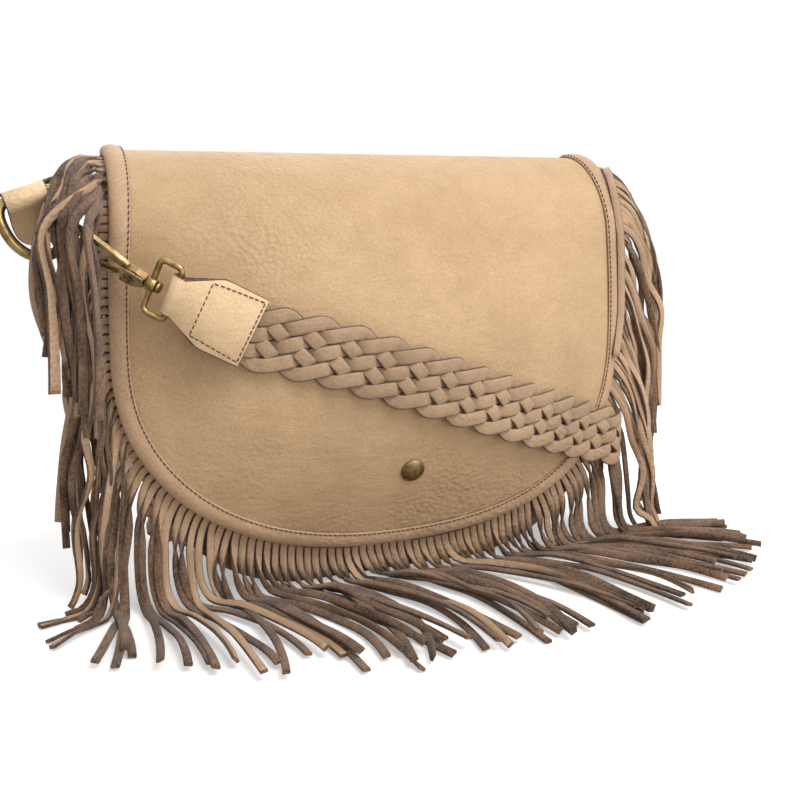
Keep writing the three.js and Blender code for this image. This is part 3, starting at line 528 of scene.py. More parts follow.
def make_flap():
    """The back, the fold over the top and the flap, as one sheet"""
    cols = 90
    shoulder = FLAP_TOP_Z - FOLD_DROP
    rows = []
    for i in range(31):
        z = shoulder * (1 - math.cos(i / 30 * QUARTER))
        rows.append((body_half(z), lambda x, z: BACK_Y, z, 1))
    for i in range(1, 13):
        a = i / 12 * QUARTER
        y = BACK_Y * math.cos(a)
        half = mix(BODY_HALF, FLAP_TOP_HALF, i / 12)
        rows.append((half, lambda x, z, y=y: y, shoulder + FOLD_DROP * math.sin(a), 0))
    heights = [shoulder + FOLD_DROP * math.cos(i / 16 * QUARTER) for i in range(1, 17)]
    heights += [mix(shoulder, FLAP_WIDEST_Z, i / 15) for i in range(1, 16)]
    for i in range(1, 46):
        heights.append(mix(FLAP_WIDEST_Z, FLAP_LOW_Z, math.sin(i / 45 * QUARTER) ** (2 / FLAP_SQUARENESS)))
    rows += [(max(FLAP_TIP_HALF, flap_half(z)), flap_y, z, -1) for z in heights]
    grid = []
    for half, y_of, z, face in rows:
        row = []
        for c in range(cols + 1):
            k = 2 * c / cols - 1
            x = half * math.sin(k * QUARTER)
            fade = 1 - abs(k) ** 6
            wave = soft_wave(x, z, 46, 1.3) * 0.9 * fade
            row.append(vec(x, y_of(x, z) + face * max(-0.3, wave), z))
        grid.append(row)
    shell("flap_leather", grid, LEATHER, SHELL_MATS, slot="leather", replaces=("back_and_flap",))


def make_front_panel():
    cols = 60
    grid = []
    for i in range(41):
        z = PANEL_TOP_Z * (1 - math.cos(i / 40 * QUARTER))
        half = body_half(z)
        row = [vec(half * math.sin((2 * c / cols - 1) * QUARTER), 0, z) for c in range(cols + 1)]
        grid.append([vec(p[0], panel_y(p[0], z) + 0.6 * soft_wave(p[0], z, 40, 0.4), z) for p in row])
    shell("front_panel_leather", grid, LEATHER, SHELL_MATS, slot="leather", replaces=("front_panel",))


def make_gusset():
    """The long strip round the sides and the bottom, with sides that sink in a little"""
    depth = BACK_Y - LEATHER - GAP - GUSSET_FRONT_Y
    inner_half = BODY_HALF - CORNER_RADIUS
    outline = [vec(-BODY_HALF, 0, mix(GUSSET_TOP_Z, CORNER_RADIUS, i / 14)) for i in range(14)]
    for i in range(25):
        a = i / 24 * QUARTER
        outline.append(vec(-inner_half - CORNER_RADIUS * math.cos(a), 0, CORNER_RADIUS * (1 - math.sin(a))))
    outline += [vec(-inner_half * (1 - i / 8), 0, 0) for i in range(1, 9)]
    outline += [vec(-p[0], 0, p[2]) for p in outline[:-1]][::-1]
    grid = []
    steps = 14
    for k in range(steps + 1):
        y = mix(GUSSET_FRONT_Y, GUSSET_FRONT_Y + depth, k / steps)
        sag = GUSSET_SAG * math.sin(math.pi * k / steps) ** 0.8
        row = []
        for p in outline:
            end = smooth(p[2] / 30)
            inward = unit(vec(-p[0], 0, max(0.0, CORNER_RADIUS - p[2]))) if p[2] > 0 else vec(0, 0, 1)
            row.append(p + vec(0, y, 0) + inward * sag * end * (1 + 0.2 * math.sin(p[2] / 14)))
        grid.append(row)
    shell("gusset_leather", grid, LEATHER, SHELL_MATS, slot="leather", replaces=("gusset",))


# The binding's section as (out past the flap's edge, forward off its face) pairs
BINDING_FRONT = [(-9.6, 0.45), (-9.4, 1.25), (-8.6, 1.5), (-7.4, 1.95), (-5, 2.65), (-2.6, 2.6)]
BINDING_FRONT += [(-0.4, 2.0), (0.95, 0.9)]
BINDING_ROUND = [(1.5, -0.3), (1.55, -1.6), (1.1, -2.9), (-0.2, -3.6)]
BINDING_REAR = [(-3, -3.75), (-9.2, -3.7), (-9.3, -2.6), (-0.6, -2.55), (0.35, -1.9)]
BINDING_REAR += [(0.35, -0.2), (-0.2, 0.35)]
SEAM_OUT = -8.6
SEAM_FORWARD = 1.62
SEAM_POINT = 2
ROLL_POINTS = range(3, 9)
SHOWN_SIDES = 10
SEAM_PULL = 0.35


def make_binding():
    """The binding, with the small hollows that its stitches pull, and its stitches"""
    section = BINDING_FRONT + BINDING_ROUND + BINDING_REAR
    steps = int(EDGE.length / (STITCH_PITCH / 2))
    shape = Shape()
    rings = []
    for i in range(steps + 1):
        s = EDGE.length * i / steps
        p, _, f, o = edge_place(s)
        pull = SEAM_PULL if i % 2 else 0.0
        puff = 0.25 * math.sin(s / 23.0) + 0.15 * math.sin(s / 7.3 + 1)
        ring = []
        for k, (a, b) in enumerate(section):
            drop = pull if k == SEAM_POINT else 0.0
            swell = puff if k in ROLL_POINTS else 0.0
            ring.append(p + o * (a + 0.3 * swell) + f * (b - drop + 0.5 * swell))
        rings.append(ring)
    sides = [0] * SHOWN_SIDES + [1] * (len(section) - SHOWN_SIDES)
    shape.loft(rings, materials=sides, cap=1)
    shape.make("binding_leather", [BINDING_MAT, EDGE_MAT], slot="binding_leather", replaces=("flap_binding",))
    thread = Shape()
    for i in range(int(EDGE.length / STITCH_PITCH)):
        s = (i + 0.5) * STITCH_PITCH
        p, t, f, o = edge_place(s)
        add_stitch(thread, p + o * SEAM_OUT + f * SEAM_FORWARD, unit(t + 0.12 * o), f)
    thread.make("binding_stitches", [THREAD_MAT], slot="leather")


# A stitch's stations as (place along it, share of its radius, height)
STITCH_FORM = ((-0.5, 0.35, -0.35), (-0.36, 0.85, -0.05), (0, 1, 0.08))
STITCH_FORM += ((0.36, 0.85, -0.05), (0.5, 0.35, -0.35))


def add_stitch(shape, centre, along, up):
    side = unit(np.cross(along, up))
    turns = [k * math.pi / 3 for k in range(6)]
    rings = []
    for place, share, height in STITCH_FORM:
        c = centre + along * place * STITCH_LENGTH + up * height
        rings.append([c + (side * math.cos(a) + up * math.sin(a)) * STITCH_RADIUS * share for a in turns])
    shape.loft(rings)


# Fringe
LANE_LEFT = (vec(-163, -48, 0), vec(-190, 4, 0))
LANE_LEFT_BEHIND = (vec(-160, 2, 0), vec(-172, 12, 0))
LANE_LEFT_TOP = (vec(-164, -66, 0), vec(-192, -54, 0))
LANE_RIGHT = (vec(172, -62, 0), vec(211, -8, 0))
FLOOR_LIFT = 1.4
STRIP_FIRST_AT = 3.0
LOOSE_FLOOR_Z = 14.0

# Where along the left and right edges the strips change their way
LEFT_LOW_Z = 92.0
LEFT_BEHIND_Z = 178.0
LEFT_TOP_Z = 212.0
LEFT_TOP_Y = -30.0
LEFT_TOP_LENGTH = 86.0
RIGHT_LOW_Z = 100.0
RIGHT_HIGH_Z = 190.0
RIGHT_LENGTH = 215.0

# How far out and down a side strip has come at its first points
ARC_FORM = ((0.22, 7), (0.42, 19), (0.62, 36), (0.8, 58), (0.94, 84))
FLOOR_STEPS = (9, 32, 62, 95, 165)

# Which way the strips run on the floor, as (x of the root, degrees from straight forward to the right)
FLOOR_TURNS = ((-152, -20), (-130, -2), (-105, 12), (0, 16), (54, 21), (80, 29), (112, 38))
FLOOR_TURNS += ((140, 52), (155, 64))


def add_strip(shape, points, start_across, twists, width, length=STRIP_LENGTH):
    """A cut strip along points. twists are (length along, turn in degrees) keys about its own line."""
    route = Route(catmull(points, 12))
    total = min(length, route.length)
    steps = 34
    pts = [route.at(total * i / steps) for i in range(steps + 1)]
    for p in pts:
        p[2] = max(p[2], FLOOR_LIFT)
    w = square_to(start_across, unit(pts[1] - pts[0]))
    rings = []
    keys = np.array(twists, float)
    for i, p in enumerate(pts):
        t = tangent_at(pts, i)
        w = square_to(w, t)
        s = total * i / steps
        a = math.radians(np.interp(s, keys[:, 0], keys[:, 1]))
        across = w * math.cos(a) + np.cross(t, w) * math.sin(a)
        near_floor = smooth((9 - p[2]) / 7)
        if near_floor > 0:
            across = square_to(vec(across[0], across[1], across[2] * (1 - 0.75 * near_floor)), t)
        off = np.cross(t, across)
        taper = width * (1 - 0.06 * i / steps)
        ring = []
        for x, y in strap_section(taper, STRIP_THICK, 0.4):
            q = p + across * x + off * y
            q[2] = max(q[2], 0.15)
            ring.append(q)
        rings.append(ring)
    shape.loft(rings, materials=[1, 1, 2, 1, 0, 1, 2, 1], cap=1)


def hang_points(s, lane, share, arch):
    """A side strip: out from under the binding, over in an arc, then down and slowly out to its lane.
    arch is how far it springs out before it falls, from 0 to 1."""
    along = edge_place(s)[1]
    lane_at = lane[0] * (1 - share) + lane[1] * share
    lane_at = lane_at + vec(RNG.uniform(-4, 4), RNG.uniform(-5, 5), 0)
    root = on_edge(s, -3, -4.8)
    tip = on_edge(s, 5.5, -4.7 + RNG.uniform(-0.3, 0.3))
    points = [root, tip]
    for k, (way, fall) in enumerate(ARC_FORM):
        way = mix(way, min(1.0, 0.35 + way), arch)
        fall = fall * mix(1.0, 0.8, arch)
        q = tip * (1 - way) + lane_at * way
        q[2] = tip[2] - fall
        q = q + vec(RNG.uniform(-1, 1), RNG.uniform(-1, 1), 0) * (0.6 + k)
        points.append(q)
    sway = vec(RNG.uniform(-6, 6), RNG.uniform(-6, 6), 0)
    z = points[-1][2]
    count = 0
    while z - 30 > 16:
        z -= 30
        count += 1
        bend = vec(RNG.uniform(-2.5, 2.5), RNG.uniform(-2.5, 2.5), 0)
        points.append(vec(lane_at[0], lane_at[1], z) + sway * count / 3 + bend)
    points = [q for q in points if q[2] > LOOSE_FLOOR_Z or q is root or q is tip]
    return points, along, lane_at + sway * (count + 1) / 3


def floor_points(points, foot, way, spread, lift=0.0, curl=0.0):
    """Carries a strip on along the floor. curl bows it to its left, in millimetres."""
    way = unit(vec(way[0] + RNG.uniform(-spread, spread), way[1] + RNG.uniform(-spread, spread), 0))
    side = vec(-way[1], way[0], 0)
    points.append(vec(foot[0], foot[1], 12) + way * 2)
    bow = RNG.uniform(-7, 7) + curl * RNG.uniform(0.3, 1.0)
    for k, d in enumerate(FLOOR_STEPS):
        up = FLOOR_LIFT + lift * (0.5 if k == 0 else 1.0) + abs(RNG.gauss(0, 1.6)) * (1 if k else 0.4)
        points.append(vec(foot[0], foot[1], up) + way * d + side * bow * math.sin(d / 52))
    return points


def random_twists(first, start=7.0, end=24.0, calm=1.0):
    """Turns of a strip about its own line: to first between start and end, and then at random"""
    turn = first
    keys = [(0, 0), (start, 0), (end, first)]
    for s in (end + 28, end + 62, end + 95, end + 130):
        turn += RNG.uniform(-75, 75) * calm
        keys.append((s, turn))
    return keys


# The header's section as (out past the flap's edge, forward off its face) pairs. The part past the binding's
# edge lies behind the strip roots as painted shade in the slits.
HEADER_AND_SLIT_SHADE_SECTION = [(-7.5, -4.6), (5.2, -5.3), (5.2, -6.5), (-7.5, -5.9)]


def add_header_and_slit_shade(shape, start, end):
    """The uncut strip of leather from which the fringe hangs; past the binding's edge it runs on behind the
    strip roots as a dark sheet of painted shade for the slits between them.
    """
    steps = max(2, int((end - start) / 4))
    rings = [[on_edge(mix(start, end, i / steps), a, b) for a, b in HEADER_AND_SLIT_SHADE_SECTION] for i in range(steps + 1)]
    # Its front and edges take the dark raw-edge material, which between the strip roots is painted shade.
    shape.loft(rings, materials=[2, 2, 1, 2], cap=2, crisp=True)


def front_way(x, i):
    """Which way a front strip runs on the floor. Neighbours keep together in locks."""
    turn = float(np.interp(x, [k[0] for k in FLOOR_TURNS], [k[1] for k in FLOOR_TURNS]))
    turn = math.radians(turn + 8 * math.sin(i * 0.55) + 3 * math.sin(i * 1.7 + 1) + RNG.uniform(-4, 4))
    return (math.sin(turn), -math.cos(turn))


def add_side_strip(shape, s, lane, share, arch, way, spread, faces, width):
    points, across, foot = hang_points(s, lane, share, arch)
    points = floor_points(points, foot, way, spread)
    add_strip(shape, points, across, random_twists(RNG.choice(faces)), width)


def add_left_strip(shape, s, p, width):
    if p[2] > LEFT_TOP_Z or p[1] > LEFT_TOP_Y:
        share = min(1.0, max(0.0, 1 - s / LEFT_TOP_LENGTH))
        lane, arch, faces = LANE_LEFT_TOP, 0.9, (165, 184, 95, -80, 172)
    elif p[2] > LEFT_BEHIND_Z:
        share = (p[2] - LEFT_BEHIND_Z) / (LEFT_TOP_Z - LEFT_BEHIND_Z)
        lane, arch, faces = LANE_LEFT_BEHIND, 0.3, (-40, 12, 50, -120, 20)
    else:
        share = (p[2] - LEFT_LOW_Z) / (LEFT_BEHIND_Z - LEFT_LOW_Z) * 0.75
        lane, arch, faces = LANE_LEFT, 0.0, (-80, 95, 12, -20, 165, 20)
    add_side_strip(shape, s, lane, share, arch, (-0.8, -0.6), 0.5, faces, width)


def add_right_strip(shape, s, p, width):
    share = 1 - 0.9 * min(1, max(0, (EDGE.length - s) / RIGHT_LENGTH))
    arch = 0.3 if p[2] > RIGHT_HIGH_Z else 0.0
    faces = (-40, 20, 8, -15, 60, 150, 175)
    add_side_strip(shape, s, LANE_RIGHT, share, arch, (0.9, -0.45), 0.4, faces, width)


def add_front_strip(shape, s, i, width):
    """A strip of the lower edge: down to the floor and along it to the front and right"""
    p, t, _, o = edge_place(s)
    way = front_way(p[0], i)
    root = on_edge(s, -3, -4.8)
    tip = on_edge(s, 6, -4.6)
    points = [root, tip]
    out = vec(o[0], 0, 0)
    z = tip[2] - 12
    foot = tip + out * 4
    lean = vec(way[0], way[1] * 0.4, 0)
    while z > 22:
        stray = vec(RNG.uniform(-1.5, 1.5) + 3 * out[0], RNG.uniform(-1.5, 0.5), 0)
        foot = foot + stray + lean * 2.2
        points.append(vec(foot[0], foot[1], z))
        z -= 20
    points = floor_points(points, foot, way, 0.1, 1.3 * (i % 4), 25)
    first = RNG.choice((8, 158, 185, 165, -165, 175, 190, 170))
    longer = 8 + 8 * smooth((p[0] - 40) / 90) + RNG.uniform(-6, 5)
    twists = random_twists(first, 16.0, 42.0, 0.45)
    add_strip(shape, points, t, twists, width, STRIP_LENGTH + longer)


def make_fringes():
    left, front, right = Shape(), Shape(), Shape()
    left_end = 0.0
    front_end = 0.0
    for i in range(int((EDGE.length - 4) / STRIP_PITCH)):
        s = STRIP_FIRST_AT + (i + 0.5) * STRIP_PITCH
        p = EDGE.at(s)
        width = STRIP_PITCH - 0.35 + RNG.uniform(-0.3, 0.25)
        if p[0] < 0 and p[2] > LEFT_LOW_Z:
            left_end = s + STRIP_PITCH / 2
            add_left_strip(left, s, p, width)
        elif p[0] >= 0 and p[2] > RIGHT_LOW_Z:
            add_right_strip(right, s, p, width)
        else:
            front_end = s + STRIP_PITCH / 2
            add_front_strip(front, s, i, width)
    add_header_and_slit_shade(left, 2, left_end - GAP)
    add_header_and_slit_shade(front, left_end + GAP, front_end - GAP)
    add_header_and_slit_shade(right, front_end + GAP, EDGE.length - 2)
    add_strip_over_binding(right)
    add_strips_before_hook(left)
    mats = [SMOOTH_MAT, SUEDE_MAT, EDGE_MAT]
    for name, shape in (("left_fringe", left), ("front_fringe", front), ("right_fringe", right)):
        shape.make(name + "_strips", mats, slot="fringe_leather", replaces=(name,))


def add_strip_over_binding(shape):
    """The strip that fell over the front and lies along the right binding"""
    end = EDGE.length
    points = [on_edge(end - 38, 4, -3.5), on_edge(end - 40, 3.5, 1.5), on_edge(end - 48, 0.5, 4.5)]
    for s in (62, 85, 110, 135):
        points.append(on_edge(end - s, -2.4 + 0.012 * s, 4.2))
    points.append(on_edge(end - 175, -5.5, 4.6))
    add_strip(shape, points, unit(vec(1, 0.35, 0)), [(0, 0), (150, -8)], 5.2, 132)


# Strips that hang before the left hook, as (root along the edge, x, y, turn in degrees, width)
BEFORE_HOOK = ((58, -168, -72, 8, 5.2), (52, -175, -66, 12, 5.0), (45, -188, -62, 176, 6.4))


def add_strips_before_hook(shape):
    for s, x, y, turn, width in BEFORE_HOOK:
        points = [on_edge(s, -2, -4.8), on_edge(s, 4, -4.8), EDGE.at(s) + vec(-7, -8, -6)]
        points += [vec(x, y, z) + vec(1.5 * math.sin(z / 20), 0, 0) for z in (205, 175, 140, 100)]
        twists = [(0, 0), (6, 0), (22, turn), (80, turn - 15), (146, turn + 25)]
        add_strip(shape, points, vec(0, 0.3, 1), twists, width)


# Hardware
SNAP_Z = 70.0
CLAW_AT = vec(-FLAP_TOP_HALF - 26, -FLAP_FRONT + 2, FLAP_TOP_Z - 46)
SWIVEL_FROM = vec(-FLAP_TOP_HALF + 9.2, -FLAP_FRONT - 22.7, FLAP_TOP_Z - 66.1)
STRAP_TAB_TO = vec(-FLAP_TOP_HALF + 60, -FLAP_FRONT - 33.5, FLAP_TOP_Z - 94)
HOOK_CLAW_U = 50.5
CLAW_W = 0.8
HOOK_ROLL = -0.6
HOOK_END_U = 57.0
HOOK_ARM_W = 12.0
RING_REACH = 12.7
RING_INNER = 25.0
RING_WIRE_RADIUS = 1.6
RING_CORNER = 3.2
D_WIRE_RADIUS = 2.7
D_HALF = 15.4
D_HEIGHT = 30.0
BOSS_LENGTH = 6.0
PIVOT = (13.0, -1.2)
GATE_SHORT = 11.4
GATE_TIP_W = -8.4
GATE_EYE_RADIUS = 2.6
GATE_EYE_HALF = 1.2
UP = vec(0, 0, 1)

HOOK_U = unit(CLAW_AT - SWIVEL_FROM)
RING_W = unit(UP - HOOK_U * HOOK_U[2])
RING_N = np.cross(HOOK_U, RING_W)
HOOK_W = RING_W * math.cos(HOOK_ROLL) + RING_N * math.sin(HOOK_ROLL)
HOOK_N = np.cross(HOOK_U, HOOK_W)
SWIVEL = CLAW_AT - HOOK_U * HOOK_CLAW_U - HOOK_W * CLAW_W
D_WAY = unit(vec(0.95, 0, 0.31))
D_FACE = unit(np.cross(D_WAY, UP))
D_UP = unit(np.cross(D_FACE, D_WAY))
D_BAR = CLAW_AT - D_WAY * 10 + D_UP * 25
RING_BAR = SWIVEL - HOOK_U * RING_REACH
TAB_WAY = unit(STRAP_TAB_TO - RING_BAR)


def hook_point(u, w, n=0.0):
    """A place in the hook's own frame: along it, across it and off its face"""
    return SWIVEL + HOOK_U * u + HOOK_W * w + HOOK_N * n


def ring_point(u, w):
    return SWIVEL + HOOK_U * u + RING_W * w


def even(points, count, loop=False):
    route = Route(catmull(points, 16, loop))
    n = count if loop else count + 1
    return [route.at(route.length * i / count) for i in range(n)]


def loop_rings(points, normal, section):
    n = len(points)
    rings = []
    for i, p in enumerate(points):
        side = np.cross(unit(points[(i + 1) % n] - points[i - 1]), normal)
        rings.append([p + side * a + normal * b for a, b in section])
    return rings


def lathe(shape, base, axis, profile, sides=32):
    """A turned form: profile is (distance along the axis, radius) pairs"""
    side = unit(np.cross(axis, vec(0.3, 0.9, 0.2)))
    other = np.cross(axis, side)
    round_ways = [side * a + other * b for a, b in round_section(1.0, sides)]
    shape.loft([[base + axis * d + way * max(r, 0.02) for way in round_ways] for d, r in profile])


def d_ring_shape():
    k, h = D_HALF, D_HEIGHT
    half = [(0, 0), (k * 0.78, 0), (k * 0.97, -0.13 * h), (k, -0.38 * h)]
    half += [(k * 0.86, -0.68 * h), (k * 0.5, -0.92 * h)]
    outline = half + [(0, -h)] + [(-a, b) for a, b in half[:0:-1]]
    pts = even([D_BAR + D_WAY * a + D_UP * b for a, b in outline], 96, True)
    shape = Shape()
    shape.loft(loop_rings(pts, D_FACE, round_section(D_WIRE_RADIUS, 20)), loop=True)
    return shape


def add_hook_block(shape, start):
    """The two cheeks that hold the gate's pin, and the web between them"""
    outline = [(start, -2.2), (start + 0.5, -2.7), (8.6, -4.6), (9.6, -5.0), (16.4, -5.0), (17, -4.5)]
    outline += [(17.4, 2.4), (16.6, 4.5), (9.4, 3.9), (8.4, 3.5), (start + 0.5, 2.5), (start, 2.1)]
    mid_u, mid_w = 11.0, -0.6
    for low, high in ((-3.1, -1.75), (1.75, 3.1)):
        rings = []
        for n, inset in ((low, 0.35), (low + 0.35, 0.0), (high - 0.35, 0.0), (high, 0.35)):
            ring = [hook_point(mix(u, mid_u, inset / 8), mix(w, mid_w, inset / 5), n) for u, w in outline]
            rings.append(ring)
        shape.loft(rings, crisp=True)
    web = [(start, -2.4), (8.4, -3.0), (8.4, 2.6), (17.2, 2.6), (16.4, 4.6), (8.4, 4.6), (start, 2.4)]
    shape.loft([[hook_point(u, w, n) for u, w in web] for n in (-1.8, 1.8)], crisp=True)


def add_hook_arm(shape):
    """The fixed arm, a flat bar with bevelled edges that ends in the claw"""
    arm = [(14, 3.9), (22, 6.6), (33, 9.8), (43, HOOK_ARM_W), (51, 11.2)]
    arm += [(HOOK_END_U - 0.8, 6.6), (HOOK_END_U, 0)]
    arm += [(HOOK_END_U - 1.2, -5), (HOOK_END_U - 4.6, -8), (HOOK_END_U - 8.6, -8.8)]
    pts = even([hook_point(u, w) for u, w in arm], 60)
    right = [(1.1, -2.5), (1.7, -1.9), (1.7, 1.9), (1.1, 2.5)]
    flat = [(-1.7, -1.9), (-1.1, -2.5)] + right + [(-1.1, 2.5), (-1.7, 1.9)]
    shape.loft(rings_along(pts, HOOK_N, flat, 0.2, 0.7), crisp=True)


def hook_shape():
    shape = Shape()
    start = BOSS_LENGTH / 2 + 0.35
    add_hook_block(shape, start)
    add_hook_arm(shape)
    head = -BOSS_LENGTH / 2
    swivel = [(head - 2.2, 0.4), (head - 2.1, 2.3), (head - 1.6, 2.9), (head - 0.6, 3.0)]
    swivel += [(head - 0.35, 2.6), (head - 0.3, 1.6), (start + 1, 1.6)]
    lathe(shape, hook_point(0, 0), HOOK_U, swivel)
    rivet = [(-0.4, 2.5), (0.15, 2.5), (0.5, 2.1), (0.72, 1.3), (0.8, 0.1)]
    for sign in (-1, 1):
        lathe(shape, hook_point(*PIVOT, sign * 3.1), HOOK_N * sign, rivet)
    return shape


def gate_shape():
    shape = Shape()
    tip = (HOOK_END_U - GATE_SHORT, GATE_TIP_W)
    mid = (mix(PIVOT[0], tip[0], 0.5), mix(PIVOT[1], tip[1], 0.5) - 0.2)
    pts = even([hook_point(PIVOT[0] + 2.2, PIVOT[1] - 0.5), hook_point(*mid), hook_point(*tip)], 20)
    shape.loft(rings_along(pts, HOOK_N, round_section(1.5, 14), 0.25, 0.93))
    outline = [(PIVOT[0] + u, PIVOT[1] + w) for u, w in round_section(GATE_EYE_RADIUS, 24)]
    ends = (-GATE_EYE_HALF, GATE_EYE_HALF)
    shape.loft([[hook_point(u, w, d) for u, w in outline] for d in ends], crisp=True)
    return shape


def strap_ring_shape():
    half = RING_INNER / 2 + RING_WIRE_RADIUS
    r = RING_CORNER
    pts = []
    near, far = -r, -RING_REACH + r
    corners = ((near, half - r, 0), (far, half - r, 1), (far, r - half, 2), (near, r - half, 3))
    for u, w, a in corners:
        for k in range(9):
            t = (a + k / 8) * QUARTER
            pts.append(ring_point(u + r * math.cos(t), w + r * math.sin(t)))
        next_u, next_w, _ = corners[(a + 1) % 4]
        out_u, out_w = r * math.cos(t), r * math.sin(t)
        for k in range(1, 6):
            pts.append(ring_point(mix(u, next_u, k / 6) + out_u, mix(w, next_w, k / 6) + out_w))
    shape = Shape()
    shape.loft(loop_rings(pts, RING_N, round_section(RING_WIRE_RADIUS, 16)), loop=True)
    boss = [(-3, 2.3), (-2.7, 3.1), (-2.2, 3.5), (2.2, 3.5), (2.7, 3.1), (3, 2.3)]
    lathe(shape, ring_point(0, 0), HOOK_U, boss)
    return shape


def folded_tab(stations):
    """A leather strip through (point, width direction, width) stations"""
    pts = [p for p, _, _ in stations]
    rings = []
    for i, (_, across, width) in enumerate(stations):
        rings.append(ring_at(pts, i, across, strap_section(width, TAB_THICK, 0.5)))
    shape = Shape()
    shape.loft(rings, materials=[1, 2, 2, 2, 0, 2, 2, 2], cap=2)
    return shape


TAB_THICK = 1.8
STRAP_TAB_LENGTH = 45.0
STRAP_TAB_WIDTH = 38.0
STRAP_NECK_WIDTH = 21.0
STRAP_FLARE = (2.0, 20.0)
BRAID_THICK = 4.4
TAB_WIDE = unit(UP - TAB_WAY * TAB_WAY[2])


def strap_tab_frame(s):
    k = min(1.0, max(0.0, (s - STRAP_FLARE[0]) / (STRAP_FLARE[1] - STRAP_FLARE[0])))
    across = unit(RING_W * (1 - k) + TAB_WIDE * k)
    return k, across, unit(np.cross(across, TAB_WAY))


def strap_tab_shape():
    turn = RING_WIRE_RADIUS + 0.55 + TAB_THICK / 2
    flat = BRAID_THICK / 2 + 0.8 + TAB_THICK / 2
    stations = []

    def station(s, n):
        k, across, face = strap_tab_frame(s)
        width = mix(STRAP_NECK_WIDTH, STRAP_TAB_WIDTH, k)
        stations.append((RING_BAR + TAB_WAY * s + face * n, across, width))

    front = [STRAP_TAB_LENGTH, 44.6, 43, 38, 30, 24, 20, 17, 14.5, 12.5, 10.5, 8.5, 6.5, 4.5, 2]
    for s in front:
        station(s, mix(turn, flat, smooth(s / 16)))
    for i in range(13):
        a = QUARTER * (1 - i / 6)
        station(-turn * math.cos(a), turn * math.sin(a))
    for s in front[::-1]:
        station(s * (STRAP_TAB_LENGTH - 1.5) / STRAP_TAB_LENGTH, -mix(turn, flat, smooth(s / 16)))
    shape = folded_tab(stations)
    thread = Shape()
    corners = [(14.5, -14.4), (42.2, -16.8), (42.2, 16.8), (14.5, 14.4)]
    for (s0, w0), (s1, w1) in zip(corners, corners[1:] + corners[:1]):
        n = int(round(math.hypot(s1 - s0, w1 - w0) / STITCH_PITCH))
        for i in range(n):
            u = (i + 0.5) / n
            s, w = mix(s0, s1, u), mix(w0, w1, u)
            _, across, face = strap_tab_frame(s)
            height = mix(turn, flat, smooth(s / 16)) + 0.98
            along = unit(TAB_WAY * (s1 - s0) + across * (w1 - w0))
            for way in (-1, 1):
                centre = RING_BAR + TAB_WAY * s + across * w + face * height * way
                add_stitch(thread, centre, along, face * way)
    return shape, thread


def ring_tab_shape():
    turn = D_WIRE_RADIUS + 0.75 + TAB_THICK / 2
    side = -(BODY_HALF + GAP + TAB_THICK / 2)
    top = 227.5

    def at_bar(a):
        return D_BAR + D_UP * turn * math.sin(a) - D_FACE * turn * math.cos(a)

    above = D_BAR + D_UP * turn - D_FACE * 9
    under = 2.4

    def root(out, z, forward=0.0):
        return vec(side - out, -8 - forward, z)

    def slack(down, back):
        return D_BAR - D_UP * (turn + down) - D_FACE * back

    keys = [(root(0, 182), 0), (root(0, 200), 0), (root(3, 217), 0.08), (root(15, top), 0.3)]
    keys += [(root(34, top + 0.2, 10), 0.8), (above, 1)]
    keys += [(at_bar(QUARTER * (1 + i / 4)), 1) for i in range(9)]
    keys += [(slack(3, 7), 1), (slack(12, 11), 0.95), (slack(17, 20) + vec(9, 0, 0), 0.7)]
    keys += [(root(14, 203), 0.3), (root(under + 2, 196), 0.05), (root(under, 184), 0)]
    pts = [k[0] for k in keys]
    curve = catmull(pts, 6)
    stations = []
    for i, p in enumerate(curve):
        u = i / 6
        j = min(int(u), len(keys) - 2)
        k = mix(keys[j][1], keys[j + 1][1], u - j)
        stations.append((p, unit(vec(0, -1, 0) * (1 - k) + D_WAY * k), mix(26.0, 21.5, smooth(k))))
    return folded_tab(stations)


def paint(node, material):
    """Gives its material to a solid that stays in view"""
    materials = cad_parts[node].data.materials
    materials.clear()
    materials.append(material)


def make_hardware():
    """The fittings of both sides, as (end of the name, shape, materials, slot, body, replaced node)"""
    leather = [TAB_MAT, INSIDE_MAT, EDGE_MAT]
    tab, thread = strap_tab_shape()
    pieces = (
        ("d_ring_metal", d_ring_shape(), [BRASS_MAT], "brass", "d_ring", "d_ring"),
        ("hook_metal", hook_shape(), [DARK_BRASS_MAT], "brass", "hook", "hook"),
        ("gate_metal", gate_shape(), [BRASS_MAT], "brass", "gate", "gate"),
        ("strap_ring_metal", strap_ring_shape(), [BRASS_MAT], "brass", "strap_ring", "strap_ring"),
        ("strap_tab_leather", tab, leather, "leather", None, "strap_tab"),
        ("strap_tab_stitches", thread, [THREAD_MAT], "leather", None, None),
        ("ring_tab_leather", ring_tab_shape(), leather, "leather", None, "ring_tab"),
    )
    for side in ("left", "right"):
        for name, shape, materials, slot, body, node in pieces:
            own = shape if side == "left" else shape.turned()
            rides = f"{side}_{body}" if body else "bag"
            replaced = (f"{side}_{node}",) if node else ()
            own.make(f"{side}_{name}", materials, body=rides, slot=slot, replaces=replaced)
        paint(f"{side}_gate_pin", DARK_BRASS_MAT)
    for node in ("snap_socket", "snap_stud", "stud_washer"):
        paint(node, BRASS_MAT)


def make_snap_cap():
    shape = Shape()
    profile = [(-2.5, 1.8), (0.3, 1.8), (0.32, 6.6), (0.5, 6.95), (0.95, 7.0), (1.25, 6.7)]
    profile += [(1.7, 6.0), (2.4, 4.6), (2.9, 2.9), (3.1, 1.2), (3.12, 0.1)]
    lathe(shape, vec(0, flap_y(0, SNAP_Z), SNAP_Z), flap_normal(0, SNAP_Z), profile, 48)
    shape.make("snap_cap_dome", [BRASS_MAT], slot="brass", replaces=("snap_cap",))


